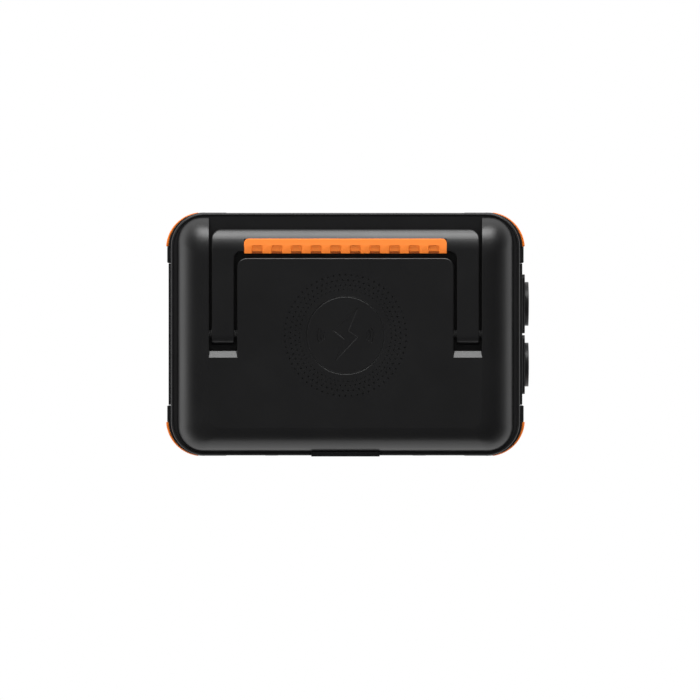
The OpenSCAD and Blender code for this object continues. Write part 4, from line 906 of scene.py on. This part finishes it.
def dressNode(node, name, body, slot, width, joined):
    first = joined == "before"
    bm = fromNode(node, first)
    if node in shapedFirst:
        shape, settings = shapedFirst[node]
        shape(bm, settings)
    if width:
        shortest = width * mm / 2
        roundEdges(bm, width * mm, 2, nodeEdgeBend, lambda edge: edge.calc_length() > shortest, first)
    if not first:
        mergeFlats(bm, nodeFlatBend)
    if node in marked:
        cutPowerMark(bm, marked[node], powerMark)
    closePiece(bm, name, body, slot, [node])


for node, settings in dressed.items():
    dressNode(node, *settings)
print("dressed pieces made:", len(dressed))

# Size of the black lips that paint shade over the bumpers' inner tops
shadeLipSettings = {"inner": 21.9 * mm, "outer": 22.15 * mm, "low": 145.6 * mm, "high": 147.2 * mm, "steps": 24,
               "sideProud": 1.5 * mm, "endProud": 0.15 * mm, "edge": 0.3 * mm}


# A thin black lip over each bumper: a dark sheet that paints shade over the inner part of its top, where the
# rim wall's shade falls
def makeShadeLips(lip):
    bm = bmesh.new()
    inner, outer, low, high = [lip[key] for key in ("inner", "outer", "low", "high")]
    for sideX in (-1, 1):
        for sideY in (-1, 1):
            before = set(bm.verts[:])
            start = [bm.verts.new((r, 0, z)) for r, z in
                     ((inner, low), (outer, low), (outer, high), (inner, high))]
            edges = [bm.edges.new(pair) for pair in zip(start, start[1:] + start[:1])]
            bmesh.ops.spin(bm, geom=start + edges, cent=(0, 0, 0), axis=(0, 0, 1), angle=radians(90),
                           steps=lip["steps"])
            ends = [edge for edge in bm.edges if len(edge.link_faces) == 1]
            bmesh.ops.holes_fill(bm, edges=ends, sides=4)
            for vert in [vert for vert in bm.verts if vert not in before]:
                turn = vert.co.xy.normalized()
                if vert.co.xy.length > (inner + outer) / 2:
                    vert.co.x += lip["sideProud"] * turn.x
                    vert.co.y += lip["endProud"] * turn.y
                vert.co.x = sideX * (cornerCentre[0] + vert.co.x)
                vert.co.y = sideY * (cornerCentre[1] + vert.co.y)
    faceOutwards(bm)
    roundEdges(bm, lip["edge"], 2, nodeEdgeBend, lambda edge: middle(edge).z > high - sameLevel)
    closePiece(bm, "guardShadeLips", "pack", "black_plastic")


makeShadeLips(shadeLipSettings)
print("guard lips made")

# Heads are found by the area of their faces, in square mm
screwSettings = {"headArea": 24.54, "areaSlack": 0.3, "headSides": 20, "rim": 0.22 * mm, "landing": 1.3 * mm,
                 "flat": 1.15 * mm, "depth": 0.6 * mm, "taper": 0.04 * mm}


# Screws with hexagon sockets
def makeScrews(screw):
    bm = fromNode("case_screws")
    heads = [face for face in bm.faces
             if abs(face.calc_area() / mm ** 2 - screw["headArea"]) < screw["areaSlack"]]
    around = {edge for face in heads for edge in face.edges}
    centres = [face.calc_center_median() for face in heads]
    roundEdges(bm, screw["rim"], 2, nodeEdgeBend, lambda edge: edge in around)

    def onHead(face):
        at = face.calc_center_median()
        inPlace = any((at - centre).length < sameLevel for centre in centres)
        return inPlace and len(face.verts) > screw["headSides"]

    heads = [face for face in bm.faces if onHead(face)]
    bmesh.ops.inset_individual(bm, faces=heads, thickness=screw["landing"], depth=0)
    for face in heads:
        centre = face.calc_center_median()
        across = (face.verts[0].co - centre).normalized()
        beside = face.normal.cross(across)
        for vert in face.verts:  # the round rim becomes a hexagon
            away = vert.co - centre
            angle = atan2(away.dot(beside), away.dot(across))
            reach = screw["flat"] / cos((angle + pi / 6) % (pi / 3) - pi / 6)
            vert.co = centre + away.normalized() * reach
    bmesh.ops.inset_individual(bm, faces=heads, thickness=screw["taper"], depth=-screw["depth"])
    closePiece(bm, "caseScrews", "pack", "screw_steel", ["case_screws"])


makeScrews(screwSettings)
print("screws made")

# Nodes whose finish isn't the one of their slot
ownFinish = {"lamp_lens": "lampLens", "handle_pins": "gasket_rubber", "handle_pin_clips": "pinSteel",
             "handle_bushes": "black_plastic"}

for name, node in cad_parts.items():
    for place in node.material_slots:
        slot = place.material.name.split(".")[0]
        place.material = finishes[ownFinish.get(name, slot)]
print("carried-over nodes finished")

stageSettings = {
    "floorSize": 40.0, "floorGap": 0.2 * mm, "floorColor": (0.86, 0.86, 0.86, 1),
    "walls": 0.72, "overhead": 0.095, "wallTop": (0.0, 0.5), "rightWall": 0.42, "wallAcross": (-0.6, 0.9),
}


# White where it is seen straight on or mirrored, pale paper for the light, and clear from below
def makeFloor(stage):
    bm = bmesh.new()
    bmesh.ops.create_grid(bm, x_segments=1, y_segments=1, size=stage["floorSize"] / 2)
    floor = toObject(bm, "floor")
    floor.data.transform(Matrix.Translation((0, 0, -stage["floorGap"])))
    material, tree, shader = newMaterial("floorPaper")
    tree.nodes.remove(shader)
    paper = addNode(tree, "ShaderNodeBsdfDiffuse", Color=stage["floorColor"])
    white = addNode(tree, "ShaderNodeEmission", Strength=1.0)
    clear = tree.nodes.new("ShaderNodeBsdfTransparent")
    path = tree.nodes.new("ShaderNodeLightPath")
    under = tree.nodes.new("ShaderNodeNewGeometry")
    mirrored = calc(tree, "MAXIMUM", path.outputs["Is Glossy Ray"], path.outputs["Is Transmission Ray"])
    seen = calc(tree, "MAXIMUM", path.outputs["Is Camera Ray"], mirrored)
    below = calc(tree, "MULTIPLY", under.outputs["Backfacing"], path.outputs["Is Camera Ray"])

    def blend(factor, first, second):
        mix = tree.nodes.new("ShaderNodeMixShader")
        for place, source in enumerate((factor, first, second)):
            join(tree, source, mix.inputs[place])
        return mix.outputs[0]

    above = blend(seen, paper.outputs[0], white.outputs[0])
    join(tree, blend(below, above, clear.outputs[0]), tree.nodes["Material Output"].inputs[0])
    floor.data.materials.append(material)


# Plain studio round the object: pale walls, dimmer overhead and to the right, white to the camera
def makeWorld(stage):
    world = bpy.data.worlds.new("studio")
    bpy.context.scene.world = world
    world.use_nodes = True
    tree = world.node_tree
    light = tree.nodes["Background"]
    setInputs(light, {"Color": (1, 1, 1, 1)})
    coords = tree.nodes.new("ShaderNodeTexCoord")
    split = tree.nodes.new("ShaderNodeSeparateXYZ")
    join(tree, coords.outputs["Generated"], split.inputs[0])

    def fade(source, start, end, first, last):
        ramp = addNode(tree, "ShaderNodeMapRange", interpolation_type="SMOOTHSTEP")
        setInputs(ramp, {"From Min": start, "From Max": end, "To Min": first, "To Max": last})
        join(tree, source, ramp.inputs["Value"])
        return ramp.outputs[0]

    upwards = fade(split.outputs[2], *stage["wallTop"], stage["walls"], stage["overhead"])
    across = fade(split.outputs[0], *stage["wallAcross"], 1.0, stage["rightWall"])
    path = tree.nodes.new("ShaderNodeLightPath")
    seen = calc(tree, "MAXIMUM", path.outputs["Is Camera Ray"], path.outputs["Is Transmission Ray"])
    strength = addNode(tree, "ShaderNodeMix", data_type="FLOAT")
    strength.inputs["B"].default_value = 1.0
    join(tree, seen, strength.inputs["Factor"])
    join(tree, calc(tree, "MULTIPLY", upwards, across), strength.inputs["A"])
    join(tree, strength.outputs["Result"], light.inputs["Strength"])


# Place, size, power, and whether the gloss shows it
lamps = {
    "rearSoftbox": ((0.0, 1.75, 1.25), (2.6, 1.0), 49, True),
    "frontSoftbox": ((0.0, -2.0, 0.6), (2.0, 0.5), 2, True),
    "leftCard": ((-0.6, 0.0, 0.11), (1.0, 0.2), 0.34, True),
    "rearCard": ((0.0, 0.62, 0.11), (1.2, 0.2), 0.12, True),
    "frontCard": ((0.0, -0.62, 0.11), (1.2, 0.2), 0.12, True),
    "topFill": ((0.0, 0.0, 2.2), (2.0, 2.0), 23, False),
    "frontFill": ((0.0, -2.2, 0.8), (1.6, 0.9), 9, False),
    "rearFill": ((0.0, 2.2, 0.8), (1.6, 0.9), 6, False),
    "leftFill": ((-2.2, 0.0, 0.8), (1.6, 0.9), 9, False),
    "rightFill": ((2.2, 0.0, 0.8), (1.6, 0.9), 9, False),
}
lampAim = Vector((0, 0, 0.1))


def makeLamp(name, place, size, power, inGloss):
    data = bpy.data.lights.new(name, "AREA")
    data.shape = "RECTANGLE"
    data.size, data.size_y = size
    data.energy = power
    lamp = bpy.data.objects.new(name, data)
    bpy.context.scene.collection.objects.link(lamp)
    lamp.location = place
    lamp.visible_camera = False
    lamp.visible_glossy = inGloss
    lamp.rotation_euler = (lampAim - Vector(place)).to_track_quat("-Z", "Y").to_euler()


# It looks straight down
cameraSettings = {"aim": (2.97 * mm, -10.3 * mm), "height": 16.0, "lens": 1252.8, "sensor": 36, "farEnd": 50}


def makeCamera(view):
    data = bpy.data.cameras.new("camera")
    data.lens = view["lens"]
    data.sensor_width = view["sensor"]
    data.clip_end = view["farEnd"]
    camera = bpy.data.objects.new("camera", data)
    camera.location = (*view["aim"], view["height"])
    bpy.context.scene.collection.objects.link(camera)
    bpy.context.scene.camera = camera


makeFloor(stageSettings)
makeWorld(stageSettings)
for name, settings in lamps.items():
    makeLamp(name, *settings)
makeCamera(cameraSettings)
bpy.context.scene.view_settings.view_transform = "Standard"
print("stage, lights and camera made")
